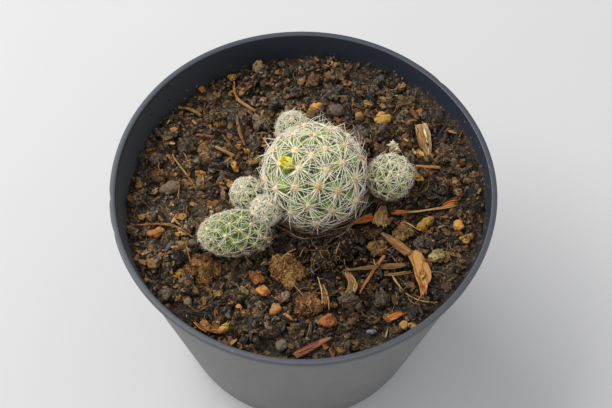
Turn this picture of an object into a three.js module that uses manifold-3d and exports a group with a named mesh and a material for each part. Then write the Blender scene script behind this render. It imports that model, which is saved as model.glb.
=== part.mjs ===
// A small clustering cactus in a ten-centimetre nursery pot.
// Millimetres, +Z up, origin at the bottom centre of the pot.
import * as THREE from "three";
import { mergeVertices } from "three/addons/utils/BufferGeometryUtils.js";
import Module from "manifold-3d";

const wasm = await Module();
wasm.setup();

// Pot
const RIM_RADIUS = 50; // outside of the rolled rim, at its widest
const POT_HEIGHT = 74;
const FOOT_RADIUS = 36.3;
const WALL = 0.9;
const BEAD_WIDTH = 1.5; // rolled rim, from the inside wall outwards
const BEAD_DROP = 1.8; // height of the rolled rim
const FOOT_WIDTH = 6; // ring that the pot stands on
const BASE_LIFT = 1.5; // recess under the middle of the base
const BEVEL = 0.75; // on the foot and on both edges of the rolled rim
const DRAIN_HOLES = 6; // on a circle, and one more in the middle
const DRAIN_RADIUS = 3.5;
const DRAIN_CIRCLE = 22;
const POT_SEGMENTS = 48;
const DRAIN_SEGMENTS = 10;

// Fit
const GAP = 0.3; // clearance round a piece that is seated in another
const WALL_CLEARANCE = 0.36; // between the mix and the pot's wall
const SAFE = 1e-4; // closer than this, two vertices are one

// Potting mix: the surface is lower on the left than on the right
const SOIL_LEVEL = 66.5;
const SOIL_SLOPE_X = 0.06;
const SOIL_SLOPE_Y = -0.02;
const SOIL_BUMP = 0.55;
const SOIL_LONG_WAVES = 0.6; // shares of the bump in the long and the short waves
const SOIL_SHORT_WAVES = 0.8;
const SOIL_RINGS = 15;

// Stems: centre, half thickness and half length, both measured to the tips of the tubercles
const GOLDEN_ANGLE = Math.PI * (3 - Math.sqrt(5));
const STEMS = {
  main_stem: {
    centre: [2.95, 2.3, 73.9],
    radius: 13.0,
    half: 13.6,
    axis: [-0.01, -0.34, 1],
    tubercle: 2.4,
    spread: 51,
    first: 1.58,
    phase: 1.936,
    columns: 36,
    rows: 21,
  },
  right_offset: {
    centre: [22.5, 3.0, 72.9],
    radius: 5.7,
    half: 6.0,
    axis: [0.45, -0.25, 1],
    tubercle: 1.1,
    spread: 40,
    first: 1.2,
    phase: 0.4,
    columns: 22,
    rows: 13,
  },
  back_offset: {
    centre: [-3.1, 16.9, 74.0],
    radius: 4.0,
    half: 4.3,
    axis: [-0.15, 0.3, 1],
    tubercle: 0.8,
    spread: 30,
    first: 1.2,
    phase: 1.1,
    columns: 18,
    rows: 11,
  },
  left_front_offset: {
    centre: [-9.3, -7.9, 73.3],
    radius: 3.6,
    half: 3.8,
    axis: [-0.6, -0.5, 1],
    tubercle: 0.8,
    spread: 27,
    first: 1.2,
    phase: 2.3,
    columns: 18,
    rows: 11,
  },
  left_back_offset: {
    centre: [-14.2, -1.8, 70.6],
    radius: 4.2,
    half: 4.6,
    axis: [-0.5, -0.1, 1],
    tubercle: 0.8,
    spread: 30,
    first: 1.2,
    phase: 0.2,
    columns: 18,
    rows: 11,
  },
  low_left_offset: {
    centre: [-16.2, -12.9, 70.3],
    radius: 5.8,
    half: 10.1,
    axis: [-1, -0.28, 0.3],
    tubercle: 1.1,
    spread: 74,
    first: 1.2,
    phase: 3.1,
    columns: 22,
    rows: 15,
  },
};
const SPIRAL_POWER = 0.74; // how the rings of tubercles open out from the tip
const SPIRAL_REACH = 0.72; // share of a half turn that the spread covers
const LAST_TUBERCLE = 0.75; // share of a half turn where the tubercles end
const TUBERCLE_FOOT = 0.52; // half width of a tubercle's foot, as a share of the tubercles' spacing
const STEM_BASE_Z = 64.5; // flat underside of the main stem, on the root collar
const MAIN_SEAT_FACETS = [24, 14]; // columns and rows of the seats in the mix
const OFFSET_SEAT_FACETS = [16, 10];

// Flower bud in a hollow between the tubercles near the top of the main stem
const BUD_SIZE = [2.7, 2.7, 3.6];
const BUD_AT = [-3.9, -0.3, 84.1];
const BUD_TAPER = 0.25;
const BUD_FACETS = [10, 7];

// Dried flower remnant behind the right offset
const DRIED_FLOWER = { at: [24.1, 15.4], size: [3.2, 2.8, 3.0], turn: 20, sunk: 0.2, seed: 5 };

// Roots: a taproot under the main stem and side roots that end at these points
const ROOT_AT = [3.05, 5.5];
const ROOT_COLLAR = 3.2;
const ROOT_TIP_Z = 30;
const ROOT_TIP = 0.8;
const ROOT_SEGMENTS = 10;
const SIDE_ROOT = 0.7;
const SIDE_ROOT_ARCH = 2; // height of a side root's middle over the straight line
const SIDE_ROOTS = [
  { from: 57, to: [20, 10, 50] },
  { from: 53, to: [-14, 18, 44] },
  { from: 50, to: [-16, -12, 40] },
  { from: 46, to: [16, -16, 36] },
];

// Stones: place on the surface, size, turn about the upright in degrees, share sunk in the mix
const STONES = {
  tan_stone_back: { at: [3.3, 29.0], size: [4.9, 4.3, 3.4], turn: 15, sunk: 0.35, seed: 1 },
  dark_stone_back: { at: [8.8, 27.9], size: [4.8, 4.4, 3.6], turn: -20, sunk: 0.35, seed: 2 },
  tan_stone_back_right: { at: [21.5, 24.6], size: [4.9, 4.4, 3.2], turn: 30, sunk: 0.35, seed: 3 },
  small_tan_stone: { at: [15.2, 25.9], size: [3.3, 3.0, 2.4], turn: 0, sunk: 0.35, seed: 4 },
  oval_stone_left: { at: [-35.0, 3.7], size: [6.4, 4.1, 3.6], turn: 30, sunk: 0.3, seed: 6 },
  orange_chunk_left: { at: [-37.8, -10.6], size: [3.9, 2.6, 2.4], turn: 10, sunk: 0.3, seed: 7 },
  tan_stone_right: { at: [40.0, -9.2], size: [3.1, 3.0, 2.4], turn: 40, sunk: 0.3, seed: 8 },
  olive_stone_front: { at: [25.2, -37.2], size: [2.8, 2.7, 2.3], turn: 0, sunk: 0.3, seed: 9 },
  grey_stone_front: { at: [-4.4, -42.6], size: [3.5, 3.2, 2.6], turn: 25, sunk: 0.35, seed: 10 },
  orange_stone_front: { at: [6.9, -36.2], size: [3.9, 3.7, 3.0], turn: -10, sunk: 0.3, seed: 11 },
  orange_stone_left: { at: [-9.3, -27.4], size: [3.2, 3.4, 2.6], turn: 5, sunk: 0.3, seed: 12 },
  grey_stone_left: { at: [-28.2, -30.2], size: [2.2, 2.6, 2.0], turn: 0, sunk: 0.3, seed: 13 },
  ochre_stone_front: { at: [-6.4, -32.9], size: [2.5, 3.7, 2.6], turn: -25, sunk: 0.3, seed: 14 },
};

// Stones and clods swell and shrink in soft waves round this share of their size
const LUMP_SHARE = 0.93;
const LUMP_WAVE = 0.05;
const STONE_FACETS = [9, 6];
const CLOD_FACETS = [10, 7];

// Clods of mix and fibre, and a curl of bark, given as the stones are
const CLODS = {
  clod_left: { at: [-24.9, -20.7], size: [9.0, 7.4, 6.0], turn: 10, sunk: 0.45, seed: 21 },
  clod_front: { at: [-4.1, -21.7], size: [9.2, 9.0, 6.6], turn: 0, sunk: 0.45, seed: 22 },
  clod_front_right: { at: [1.6, -31.4], size: [7.2, 6.2, 5.0], turn: -15, sunk: 0.45, seed: 23 },
  clod_nut: { at: [19.4, -15.6], size: [5.0, 4.8, 4.0], turn: 0, sunk: 0.4, seed: 24 },
  clod_back_left: { at: [-25.0, 26.3], size: [5.0, 5.0, 4.0], turn: 0, sunk: 0.4, seed: 25 },
  clod_dark_front: { at: [-16.6, -29.6], size: [5.5, 5.5, 4.4], turn: 0, sunk: 0.45, seed: 26 },
  clod_dark_middle: { at: [5.6, -18.6], size: [6.4, 6.0, 4.8], turn: 0, sunk: 0.5, seed: 27 },
  clod_small_left: { at: [-33.8, -12.6], size: [4.2, 3.8, 3.2], turn: 0, sunk: 0.4, seed: 28 },
  clod_back: { at: [-11.6, 24.3], size: [6.6, 4.6, 3.8], turn: -10, sunk: 0.4, seed: 29 },
  clod_grey_left: { at: [-13.0, 17.5], size: [4.6, 5.2, 4.0], turn: 0, sunk: 0.4, seed: 30 },
  clod_upper_left: { at: [-39.2, 12.1], size: [5.0, 3.4, 3.2], turn: 5, sunk: 0.4, seed: 31 },
  clod_brown_left: { at: [-38.3, 7.5], size: [5.0, 4.4, 3.8], turn: 0, sunk: 0.4, seed: 32 },
  clod_right: { at: [38.2, 13.2], size: [6.0, 6.2, 4.6], turn: 0, sunk: 0.5, seed: 33 },
  clod_grey_right: { at: [31.2, -14.0], size: [4.8, 4.8, 3.8], turn: 0, sunk: 0.45, seed: 34 },
  bark_curl: { at: [26.1, -10.5], size: [5.0, 5.2, 3.4], turn: 0, sunk: 0.45, seed: 35 },
};

// Flat chips: outline half length and half width, thickness, turn about the upright and lean, in degrees,
// width of the near end as a share, and height of the middle over the surface
const CHIPS = {
  tan_chip: {
    at: [30.0, -22.4],
    half: [5.8, 2.1],
    thick: 1.0,
    turn: -71,
    lean: 6,
    tip: 0.5,
    rise: 0.3,
  },
  brown_chip: {
    at: [23.8, -14.0],
    half: [3.9, 1.0],
    thick: 0.9,
    turn: -44,
    lean: 8,
    tip: 0.7,
    rise: 0.3,
  },
  olive_chip: {
    at: [20.5, -5.9],
    half: [3.1, 2.1],
    thick: 0.8,
    turn: -65,
    lean: 5,
    tip: 0.6,
    rise: 0.3,
  },
  orange_wedge: {
    at: [15.9, -7.0],
    half: [2.0, 1.0],
    thick: 0.9,
    turn: 22,
    lean: 4,
    tip: 0.3,
    rise: 0.3,
  },
  upright_chip: {
    at: [32.4, 17.2],
    half: [4.4, 1.9],
    thick: 1.2,
    turn: -76,
    lean: -24,
    tip: 0.8,
    rise: 1.2,
  },
  reddish_chip: {
    at: [3.1, -42.7],
    half: [4.8, 1.0],
    thick: 1.3,
    turn: 29,
    lean: 3,
    tip: 0.8,
    rise: 0.3,
  },
  orange_chip_front: {
    at: [23.0, -34.9],
    half: [2.1, 0.9],
    thick: 0.8,
    turn: 20,
    lean: 5,
    tip: 0.7,
    rise: 0.3,
  },
  striped_husk: {
    at: [12.1, -26.4],
    half: [3.0, 1.4],
    thick: 1.2,
    turn: -66,
    lean: 5,
    tip: 0.4,
    rise: 0.4,
  },
};

// Twigs and thin roots: route on the surface, the height of each end above it, radius across and upwards
const TWIGS = {
  fibrous_twig: {
    route: [[10.5, -21.5], [18.0, -20.9], [26.0, -20.5]],
    ends: [0.1, 0.1],
    radius: [0.45, 0.45],
  },
  orange_stick: {
    route: [[20.6, -18.6], [14.6, -28.0]],
    ends: [1.8, 0.0],
    radius: [0.36, 0.36],
  },
  thin_root_right: {
    route: [[22.6, -24.6], [28.1, -29.1], [33.1, -31.5]],
    ends: [0.1, 0.1],
    radius: [0.3, 0.3],
  },
  twig_right: {
    route: [[24.2, -4.8], [31.0, -4.4], [39.5, -3.0]],
    ends: [0.2, 0.2],
    radius: [0.4, 0.4],
  },
  orange_stick_right: {
    route: [[29.6, 9.4], [36.4, 8.9]],
    ends: [0.2, 0.2],
    radius: [0.42, 0.42],
  },
  twig_back_left: {
    route: [[-35.0, 29.6], [-33.0, 29.6], [-30.8, 28.9], [-28.6, 27.1]],
    ends: [0.9, 0.2],
    radius: [0.42, 0.42],
  },
  bent_twig: {
    route: [[-19.8, 38.8], [-19.4, 33.4], [-13.5, 28.6]],
    ends: [0.2, 0.2],
    radius: [0.38, 0.38],
  },
  reddish_twig: {
    route: [[-18.8, 27.2], [-17.8, 22.0], [-16.2, 17.2]],
    ends: [0.2, 0.1],
    radius: [0.42, 0.42],
  },
  pale_stick: {
    route: [[-23.8, 16.4], [-19.0, 13.7]],
    ends: [0.2, 0.2],
    radius: [0.5, 0.5],
  },
  red_stick: {
    route: [[-29.6, 20.7], [-24.6, 19.7]],
    ends: [0.2, 0.2],
    radius: [0.4, 0.4],
  },
  root_upper_left: {
    route: [[-36.0, 13.9], [-31.2, 8.4], [-28.4, 2.6]],
    ends: [0.1, 0.1],
    radius: [0.3, 0.3],
  },
  rootlet_left: {
    route: [[-43.4, -8.6], [-40.8, -7.4], [-35.8, -6.9], [-32.4, -8.0], [-28.6, -12.2]],
    ends: [0.1, 0.1],
    radius: [0.32, 0.32],
  },
  curved_flake: {
    route: [[-24.3, -35.4], [-21.6, -38.9], [-17.8, -36.8]],
    ends: [0.4, 0.6],
    radius: [0.9, 0.45],
  },
};
const TWIG_SIDES = 6;
const TWIG_STEP = 3.2; // length of one facet along a twig

// Finishes
const FINISHES = {
  pot: finish(0x42464b, 0.45),
  soil: finish(0x2e231b, 0.97),
  stem: finish(0x64813f, 0.75),
  bud: finish(0xc9c63c, 0.55),
  dried: finish(0xd8c9a4, 0.9),
  root: finish(0xb79a70, 0.9),
  tanStone: finish(0xa9824f, 0.85),
  darkStone: finish(0x4b3c31, 0.85),
  clod: finish(0x4d3523, 0.95),
  chip: finish(0xb07a3e, 0.8),
  twig: finish(0x9a6232, 0.85),
};

function finish(color, roughness) {
  return new THREE.MeshStandardMaterial({ color, roughness, metalness: 0 });
}

// Booleans on closed geometries

function solidFrom(geometry) {
  const bare = new THREE.BufferGeometry();
  bare.setAttribute("position", geometry.getAttribute("position"));
  bare.setIndex(geometry.index);
  const merged = mergeVertices(bare, SAFE);
  return new wasm.Manifold(
    new wasm.Mesh({
      numProp: 3,
      vertProperties: merged.attributes.position.array,
      triVerts: new Uint32Array(merged.index.array),
    }),
  );
}

function geometryFrom(solid) {
  const mesh = solid.getMesh();
  const geometry = new THREE.BufferGeometry();
  geometry.setAttribute("position", new THREE.BufferAttribute(mesh.vertProperties, 3));
  geometry.setIndex(new THREE.BufferAttribute(mesh.triVerts, 1));
  geometry.computeVertexNormals();
  return geometry;
}

// Pot

function wallRadius(z) {
  return FOOT_RADIUS + ((RIM_RADIUS - BEAD_WIDTH + WALL - FOOT_RADIUS) * z) / POT_HEIGHT;
}

function innerRadius(z) {
  return wallRadius(z) - WALL;
}

function turned(profile, segments) {
  const points = profile.map(([r, z]) => new THREE.Vector2(r, z));
  return new THREE.LatheGeometry(points, segments).rotateX(Math.PI / 2);
}

function potProfile() {
  const footInner = FOOT_RADIUS - FOOT_WIDTH;
  const floor = BASE_LIFT + WALL;
  const lip = RIM_RADIUS - BEAD_WIDTH;
  return [
    [0, BASE_LIFT],
    [footInner - BASE_LIFT, BASE_LIFT],
    [footInner, 0],
    [FOOT_RADIUS - BEVEL, 0],
    [wallRadius(BEVEL), BEVEL],
    [wallRadius(POT_HEIGHT - BEAD_DROP), POT_HEIGHT - BEAD_DROP],
    [RIM_RADIUS, POT_HEIGHT - BEVEL],
    [RIM_RADIUS - BEVEL / 3, POT_HEIGHT - BEVEL / 3],
    [RIM_RADIUS - BEVEL, POT_HEIGHT],
    [lip, POT_HEIGHT - BEVEL],
    [innerRadius(WALL), WALL],
    [footInner, WALL],
    [footInner - BASE_LIFT, floor],
    [0, floor],
  ];
}

function drainHole(x, y, radius) {
  const height = 6 * WALL;
  const hole = new THREE.CylinderGeometry(radius, radius, height, DRAIN_SEGMENTS);
  return solidFrom(hole.rotateX(Math.PI / 2).translate(x, y, BASE_LIFT));
}

function pot() {
  let body = solidFrom(turned(potProfile(), POT_SEGMENTS));
  for (let i = 0; i < DRAIN_HOLES; i++) {
    const angle = (2 * Math.PI * (i + 0.5)) / DRAIN_HOLES;
    const x = DRAIN_CIRCLE * Math.cos(angle);
    const y = DRAIN_CIRCLE * Math.sin(angle);
    body = body.subtract(drainHole(x, y, DRAIN_RADIUS));
  }
  return geometryFrom(body.subtract(drainHole(0, 0, DRAIN_RADIUS)));
}

// Stems

function tubercleDirections({ spread, first, phase }) {
  const directions = [];
  for (let i = 0; ; i++) {
    const polar = Math.PI * SPIRAL_REACH * Math.pow((i + first) / spread, SPIRAL_POWER);
    if (polar > Math.PI * LAST_TUBERCLE) return directions;
    const turn = phase - i * GOLDEN_ANGLE;
    directions.push(
      new THREE.Vector3(
        Math.sin(polar) * Math.cos(turn),
        Math.sin(polar) * Math.sin(turn),
        Math.cos(polar),
      ),
    );
  }
}

// Moves a stem, made upright at the origin, to its centre and axis.
function placeStem(geometry, { centre, axis }) {
  const up = new THREE.Vector3(0, 0, 1);
  const along = new THREE.Vector3(...axis).normalize();
  geometry.applyQuaternion(new THREE.Quaternion().setFromUnitVectors(up, along));
  return geometry.translate(...centre);
}

function spheroid(columns, rows, reach) {
  const geometry = new THREE.SphereGeometry(1, columns, rows).rotateX(Math.PI / 2);
  const position = geometry.getAttribute("position");
  const direction = new THREE.Vector3();
  for (let i = 0; i < position.count; i++) {
    direction.fromBufferAttribute(position, i);
    position.setXYZ(i, ...reach(direction));
  }
  return geometry;
}

function tubercled(stem) {
  const tubercles = tubercleDirections(stem);
  const halfAngle = TUBERCLE_FOOT * Math.sqrt((4 * Math.PI) / stem.spread);
  const geometry = spheroid(stem.columns, stem.rows, (direction) => {
    const nearest = Math.min(...tubercles.map((t) => direction.angleTo(t)));
    const drop = stem.tubercle * Math.min(1, nearest / halfAngle);
    return [
      direction.x * (stem.radius - drop),
      direction.y * (stem.radius - drop),
      direction.z * (stem.half - drop),
    ];
  });
  return placeStem(geometry, stem);
}

// A stem grown by the seating clearance, tubercles and all.
function grownStem(name) {
  const stem = { ...STEMS[name] };
  stem.radius += GAP;
  stem.half += GAP;
  return solidFrom(tubercled(stem));
}

// The smooth envelope of a stem's tubercle tips, grown by the seating clearance.
function stemEnvelope(stem, [columns, rows]) {
  const geometry = spheroid(columns, rows, (direction) => [
    direction.x * (stem.radius + GAP),
    direction.y * (stem.radius + GAP),
    direction.z * (stem.half + GAP),
  ]);
  return solidFrom(placeStem(geometry, stem));
}

function slabBelow(z) {
  const side = 60;
  return solidFrom(new THREE.BoxGeometry(side, side, side).translate(0, 0, z - side / 2));
}

function mainStem() {
  return solidFrom(tubercled(STEMS.main_stem)).subtract(slabBelow(STEM_BASE_Z));
}

// An offset, cut back where it meets each stem that it grew against.
function offsetStem(name, neighbours) {
  return neighbours.reduce(
    (body, other) => body.subtract(grownStem(other)),
    solidFrom(tubercled(STEMS[name])),
  );
}

// Flower bud

function flowerBud() {
  const [width, depth, height] = BUD_SIZE;
  const out = new THREE.Vector3(...BUD_AT).sub(new THREE.Vector3(...STEMS.main_stem.centre));
  const geometry = spheroid(...BUD_FACETS, (direction) => {
    const taper = 1 - BUD_TAPER * direction.z;
    return [
      0.5 * width * direction.x * taper,
      0.5 * depth * direction.y * taper,
      0.5 * height * direction.z,
    ];
  });
  const bud = solidFrom(placeStem(geometry, { centre: BUD_AT, axis: out.toArray() }));
  return bud.subtract(grownStem("main_stem"));
}

// Potting mix

function bump(x, y) {
  const long = Math.sin(0.31 * x + 1.3) * Math.cos(0.27 * y + 0.6);
  const short = Math.sin(0.71 * x + 0.53 * y) * Math.cos(0.62 * y - 0.35 * x + 2.1);
  return SOIL_BUMP * (SOIL_LONG_WAVES * long + SOIL_SHORT_WAVES * short);
}

function soilHeight(x, y) {
  return SOIL_LEVEL + SOIL_SLOPE_X * x + SOIL_SLOPE_Y * y + bump(x, y);
}

// The mix as a closed body: a bumpy top on rings, a side that follows the pot's wall and a flat bottom.
function moundedFill() {
  const bottom = BASE_LIFT + WALL + GAP;
  const angles = Array.from({ length: POT_SEGMENTS }, (_, i) => (2 * Math.PI * i) / POT_SEGMENTS);
  const spoke = (angle, radius) => [radius * Math.sin(angle), -radius * Math.cos(angle)];
  const positions = [0, 0, soilHeight(0, 0)];
  for (let ring = 1; ring <= SOIL_RINGS; ring++) {
    for (const angle of angles) {
      const shore = soilHeight(...spoke(angle, innerRadius(SOIL_LEVEL)));
      const edge = innerRadius(shore) - WALL_CLEARANCE;
      const [x, y] = spoke(angle, (edge * ring) / SOIL_RINGS);
      positions.push(x, y, ring === SOIL_RINGS ? shore : soilHeight(x, y));
    }
  }
  for (const angle of angles) {
    positions.push(...spoke(angle, innerRadius(bottom) - WALL_CLEARANCE), bottom);
  }
  positions.push(0, 0, bottom);
  const index = [];
  const at = (ring, i) => 1 + (ring - 1) * POT_SEGMENTS + (i % POT_SEGMENTS);
  const last = positions.length / 3 - 1;
  for (let i = 0; i < POT_SEGMENTS; i++) {
    index.push(0, at(1, i), at(1, i + 1));
    for (let ring = 1; ring <= SOIL_RINGS; ring++) {
      index.push(at(ring, i), at(ring + 1, i), at(ring + 1, i + 1));
      index.push(at(ring, i), at(ring + 1, i + 1), at(ring, i + 1));
    }
    index.push(at(SOIL_RINGS + 1, i), last, at(SOIL_RINGS + 1, i + 1));
  }
  const geometry = new THREE.BufferGeometry();
  geometry.setAttribute("position", new THREE.Float32BufferAttribute(positions, 3));
  geometry.setIndex(index);
  return solidFrom(geometry);
}

// Roots

function tube(points, [across, upward], length) {
  const section = new THREE.Shape();
  for (let i = 0; i < TWIG_SIDES; i++) {
    const angle = (2 * Math.PI * i) / TWIG_SIDES;
    const corner = [upward * Math.cos(angle), across * Math.sin(angle)];
    if (i === 0) section.moveTo(...corner);
    else section.lineTo(...corner);
  }
  const path = new THREE.CatmullRomCurve3(points);
  const steps = Math.max(1, Math.round((length ?? path.getLength()) / TWIG_STEP));
  return new THREE.ExtrudeGeometry(section, {
    extrudePath: path,
    steps,
    bevelEnabled: false,
  });
}

function roots(grow) {
  const taproot = turned(
    [
      [0, ROOT_TIP_Z - grow],
      [ROOT_TIP + grow, ROOT_TIP_Z + ROOT_TIP],
      [0.5 * ROOT_COLLAR + grow, 0.5 * (ROOT_TIP_Z + STEM_BASE_Z)],
      [ROOT_COLLAR + grow, STEM_BASE_Z + grow],
      [0, STEM_BASE_Z + grow],
    ],
    ROOT_SEGMENTS,
  );
  const [x, y] = ROOT_AT;
  let body = solidFrom(taproot.translate(x, y, 0));
  for (const { from, to } of SIDE_ROOTS) {
    const start = new THREE.Vector3(x, y, from);
    const end = new THREE.Vector3(...to);
    const middle = start.clone().lerp(end, 0.5).setZ(0.5 * (start.z + end.z) + SIDE_ROOT_ARCH);
    end.add(end.clone().sub(middle).setLength(grow));
    body = body.add(solidFrom(tube([start, middle, end], [SIDE_ROOT + grow, SIDE_ROOT + grow])));
  }
  return body;
}

// Stones and clods

function lump({ at: [x, y], size, turn, sunk, seed }, grow, [columns, rows]) {
  const wave = (direction) =>
    Math.sin(2.3 * direction.x + 1.7 * seed) * Math.cos(1.9 * direction.y + 0.9 * seed) +
    Math.sin(2.9 * direction.z + 2.1 * direction.x + 0.7 * seed);
  const geometry = spheroid(columns, rows, (direction) => {
    const swell = LUMP_SHARE + LUMP_WAVE * wave(direction);
    return [
      direction.x * (0.5 * size[0] * swell + grow),
      direction.y * (0.5 * size[1] * swell + grow),
      direction.z * (0.5 * size[2] * swell + grow),
    ];
  });
  geometry.rotateZ(THREE.MathUtils.degToRad(turn));
  return solidFrom(geometry.translate(x, y, soilHeight(x, y) + size[2] * (0.5 - sunk)));
}

// Chips

// A chip with a blunt near end, bellied sides and a narrow far end.
function chip({ at: [x, y], half: [long, wide], thick, turn, lean, tip, rise }, grow) {
  const l = long + grow;
  const w = wide + grow;
  const outline = new THREE.Shape();
  outline.moveTo(-l, -tip * w);
  outline.quadraticCurveTo(-0.2 * l, -1.3 * w, l, -0.35 * w);
  outline.lineTo(l, 0.35 * w);
  outline.quadraticCurveTo(0.1 * l, 1.4 * w, -l, tip * w);
  const depth = thick + 2 * grow;
  const geometry = new THREE.ExtrudeGeometry(outline, {
    depth,
    bevelEnabled: false,
    curveSegments: 3,
  });
  geometry.translate(0, 0, -depth / 2);
  geometry.rotateY(THREE.MathUtils.degToRad(-lean));
  geometry.rotateZ(THREE.MathUtils.degToRad(turn));
  return solidFrom(geometry.translate(x, y, soilHeight(x, y) + rise));
}

// Twigs

function twig({ route, ends, radius: [across, upward] }, grow) {
  const last = route.length - 1;
  const points = route.map(([x, y], i) => {
    const above = ends[0] + ((ends[1] - ends[0]) * i) / last;
    return new THREE.Vector3(x, y, soilHeight(x, y) + above);
  });
  const length = new THREE.CatmullRomCurve3(points).getLength();
  const head = points[0].clone().sub(points[1]).setLength(grow);
  const tail = points[last].clone().sub(points[last - 1]).setLength(grow);
  points[0].add(head);
  points[last].add(tail);
  return solidFrom(tube(points, [across + grow, upward + grow], length));
}

// The whole plant in its pot

const group = new THREE.Group();

function addMesh(name, geometry, material) {
  const mesh = new THREE.Mesh(geometry, material.clone());
  mesh.name = name;
  group.add(mesh);
}

function addSolid(name, solid, material) {
  addMesh(name, geometryFrom(solid), material);
}

let soil = moundedFill();

// Adds a piece that is seated in the mix, and cuts its seat.
function addSeated(name, make, material) {
  addSolid(name, make(0), material);
  soil = soil.subtract(make(GAP));
}

addMesh("pot", pot(), FINISHES.pot);

addSolid("main_stem", mainStem(), FINISHES.stem);
addSolid("right_offset", offsetStem("right_offset", ["main_stem"]), FINISHES.stem);
addSolid("back_offset", offsetStem("back_offset", ["main_stem"]), FINISHES.stem);
addSolid("left_front_offset", offsetStem("left_front_offset", ["main_stem"]), FINISHES.stem);
addSolid(
  "left_back_offset",
  offsetStem("left_back_offset", ["main_stem", "left_front_offset"]),
  FINISHES.stem,
);
addSolid(
  "low_left_offset",
  offsetStem("low_left_offset", ["main_stem", "left_front_offset", "left_back_offset"]),
  FINISHES.stem,
);
const mainSeat = stemEnvelope(STEMS.main_stem, MAIN_SEAT_FACETS);
soil = soil.subtract(mainSeat.subtract(slabBelow(STEM_BASE_Z - GAP)));
for (const name of ["right_offset", "back_offset", "left_back_offset", "low_left_offset"]) {
  soil = soil.subtract(stemEnvelope(STEMS[name], OFFSET_SEAT_FACETS));
}

addSolid("flower_bud", flowerBud(), FINISHES.bud);
addSeated("roots", roots, FINISHES.root);
addSeated("dried_flower", (grow) => lump(DRIED_FLOWER, grow, STONE_FACETS), FINISHES.dried);

for (const [name, stone] of Object.entries(STONES)) {
  const dark = name.startsWith("dark") || name.startsWith("grey") || name.startsWith("oval");
  const finished = dark ? FINISHES.darkStone : FINISHES.tanStone;
  addSeated(name, (grow) => lump(stone, grow, STONE_FACETS), finished);
}
for (const [name, clod] of Object.entries(CLODS)) {
  const finished = name.startsWith("bark") ? FINISHES.chip : FINISHES.clod;
  addSeated(name, (grow) => lump(clod, grow, CLOD_FACETS), finished);
}
for (const [name, flat] of Object.entries(CHIPS)) {
  addSeated(name, (grow) => chip(flat, grow), FINISHES.chip);
}
for (const [name, stick] of Object.entries(TWIGS)) {
  addSeated(name, (grow) => twig(stick, grow), FINISHES.twig);
}

addSolid("soil", soil, FINISHES.soil);

export default group;
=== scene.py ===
"""A small clustering cactus in a ten-centimetre nursery pot.

Tables are in millimetres and every mesh is made in metres. +Z is up, and the origin is on the
floor under the middle of the pot. The photo's viewer stands on the -Y side.
"""

import math
from typing import NamedTuple

import bmesh
import bpy
import numpy as np
from bpy.props import FloatProperty, FloatVectorProperty, IntProperty, PointerProperty
from mathutils import Matrix, Vector
from mathutils.kdtree import KDTree


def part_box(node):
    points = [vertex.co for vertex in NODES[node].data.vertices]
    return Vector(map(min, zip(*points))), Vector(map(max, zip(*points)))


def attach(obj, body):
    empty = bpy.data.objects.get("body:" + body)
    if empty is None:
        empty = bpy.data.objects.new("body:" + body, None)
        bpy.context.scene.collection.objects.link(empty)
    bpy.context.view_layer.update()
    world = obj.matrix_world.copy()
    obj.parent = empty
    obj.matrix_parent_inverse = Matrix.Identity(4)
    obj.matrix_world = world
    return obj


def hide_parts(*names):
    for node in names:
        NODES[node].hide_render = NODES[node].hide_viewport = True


bl_info = {
    "name": "Potted Cactus",
    "version": (1, 0, 0),
    "blender": (4, 5, 0),
    "location": "3D View > Sidebar > Cactus",
    "description": "Dresses the frame of a small clustering cactus in its nursery pot",
    "category": "Add Mesh",
}

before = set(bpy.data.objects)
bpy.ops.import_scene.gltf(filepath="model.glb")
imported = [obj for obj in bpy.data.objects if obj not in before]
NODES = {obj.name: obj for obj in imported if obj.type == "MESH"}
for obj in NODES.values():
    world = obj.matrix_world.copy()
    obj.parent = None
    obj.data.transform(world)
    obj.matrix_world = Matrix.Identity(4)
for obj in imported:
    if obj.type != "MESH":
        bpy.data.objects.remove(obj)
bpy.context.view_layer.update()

MM = 0.001
TAU = 2 * math.pi
GOLDEN_ANGLE = math.pi * (3 - math.sqrt(5))


def node_box(node):
    """Lowest and highest corner of a piece of the frame, in millimetres."""
    low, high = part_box(node)
    return np.array(low) / MM, np.array(high) / MM


def linear(code):
    """A screen colour, written as six hexadecimal digits, as the linear colour that shaders take."""
    shares = [int(code[i : i + 2], 16) / 255 for i in (0, 2, 4)]
    return tuple(s / 12.92 if s <= 0.04045 else ((s + 0.055) / 1.055) ** 2.4 for s in shares)


# Pot, in millimetres, with the rim's size from the frame
RIM_RADIUS = node_box("pot")[1][0]
POT_HEIGHT = node_box("pot")[1][2]
FOOT_RADIUS = 36.3
WALL = 0.9
BEAD_WIDTH = 1.5
BEAD_DROP = 1.8
FOOT_WIDTH = 6.0
BASE_LIFT = 1.5
BEVEL = 0.75
DRAIN_RADIUS = 3.5
DRAIN_CIRCLE = 22.0
DRAIN_HOLES = 6  # on a circle, round the one in the middle
POT_SEGMENTS = 224
WALL_ROWS = 20  # rows of points on each side of the wall
RIM_EDGE = 0.22  # radius of the rim's edges
RIM_UNDERCUT = 0.3  # how far in the wall meets the underside of the rim
RIM_CROWN = (0.8, 0.05)  # how far in the top of the rim starts to fall, and how far it falls
LIP_DROP = 0.12  # how much lower the rim's inner edge is
WALL_SWAY = (0.14, 0.09, -0.2)  # height of two waves of the wall at the rim, and its shift
RIM_NICKS = [(186.0, 0.35), (197.5, 0.3), (42.0, 0.2)]  # angle in degrees, depth

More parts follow.
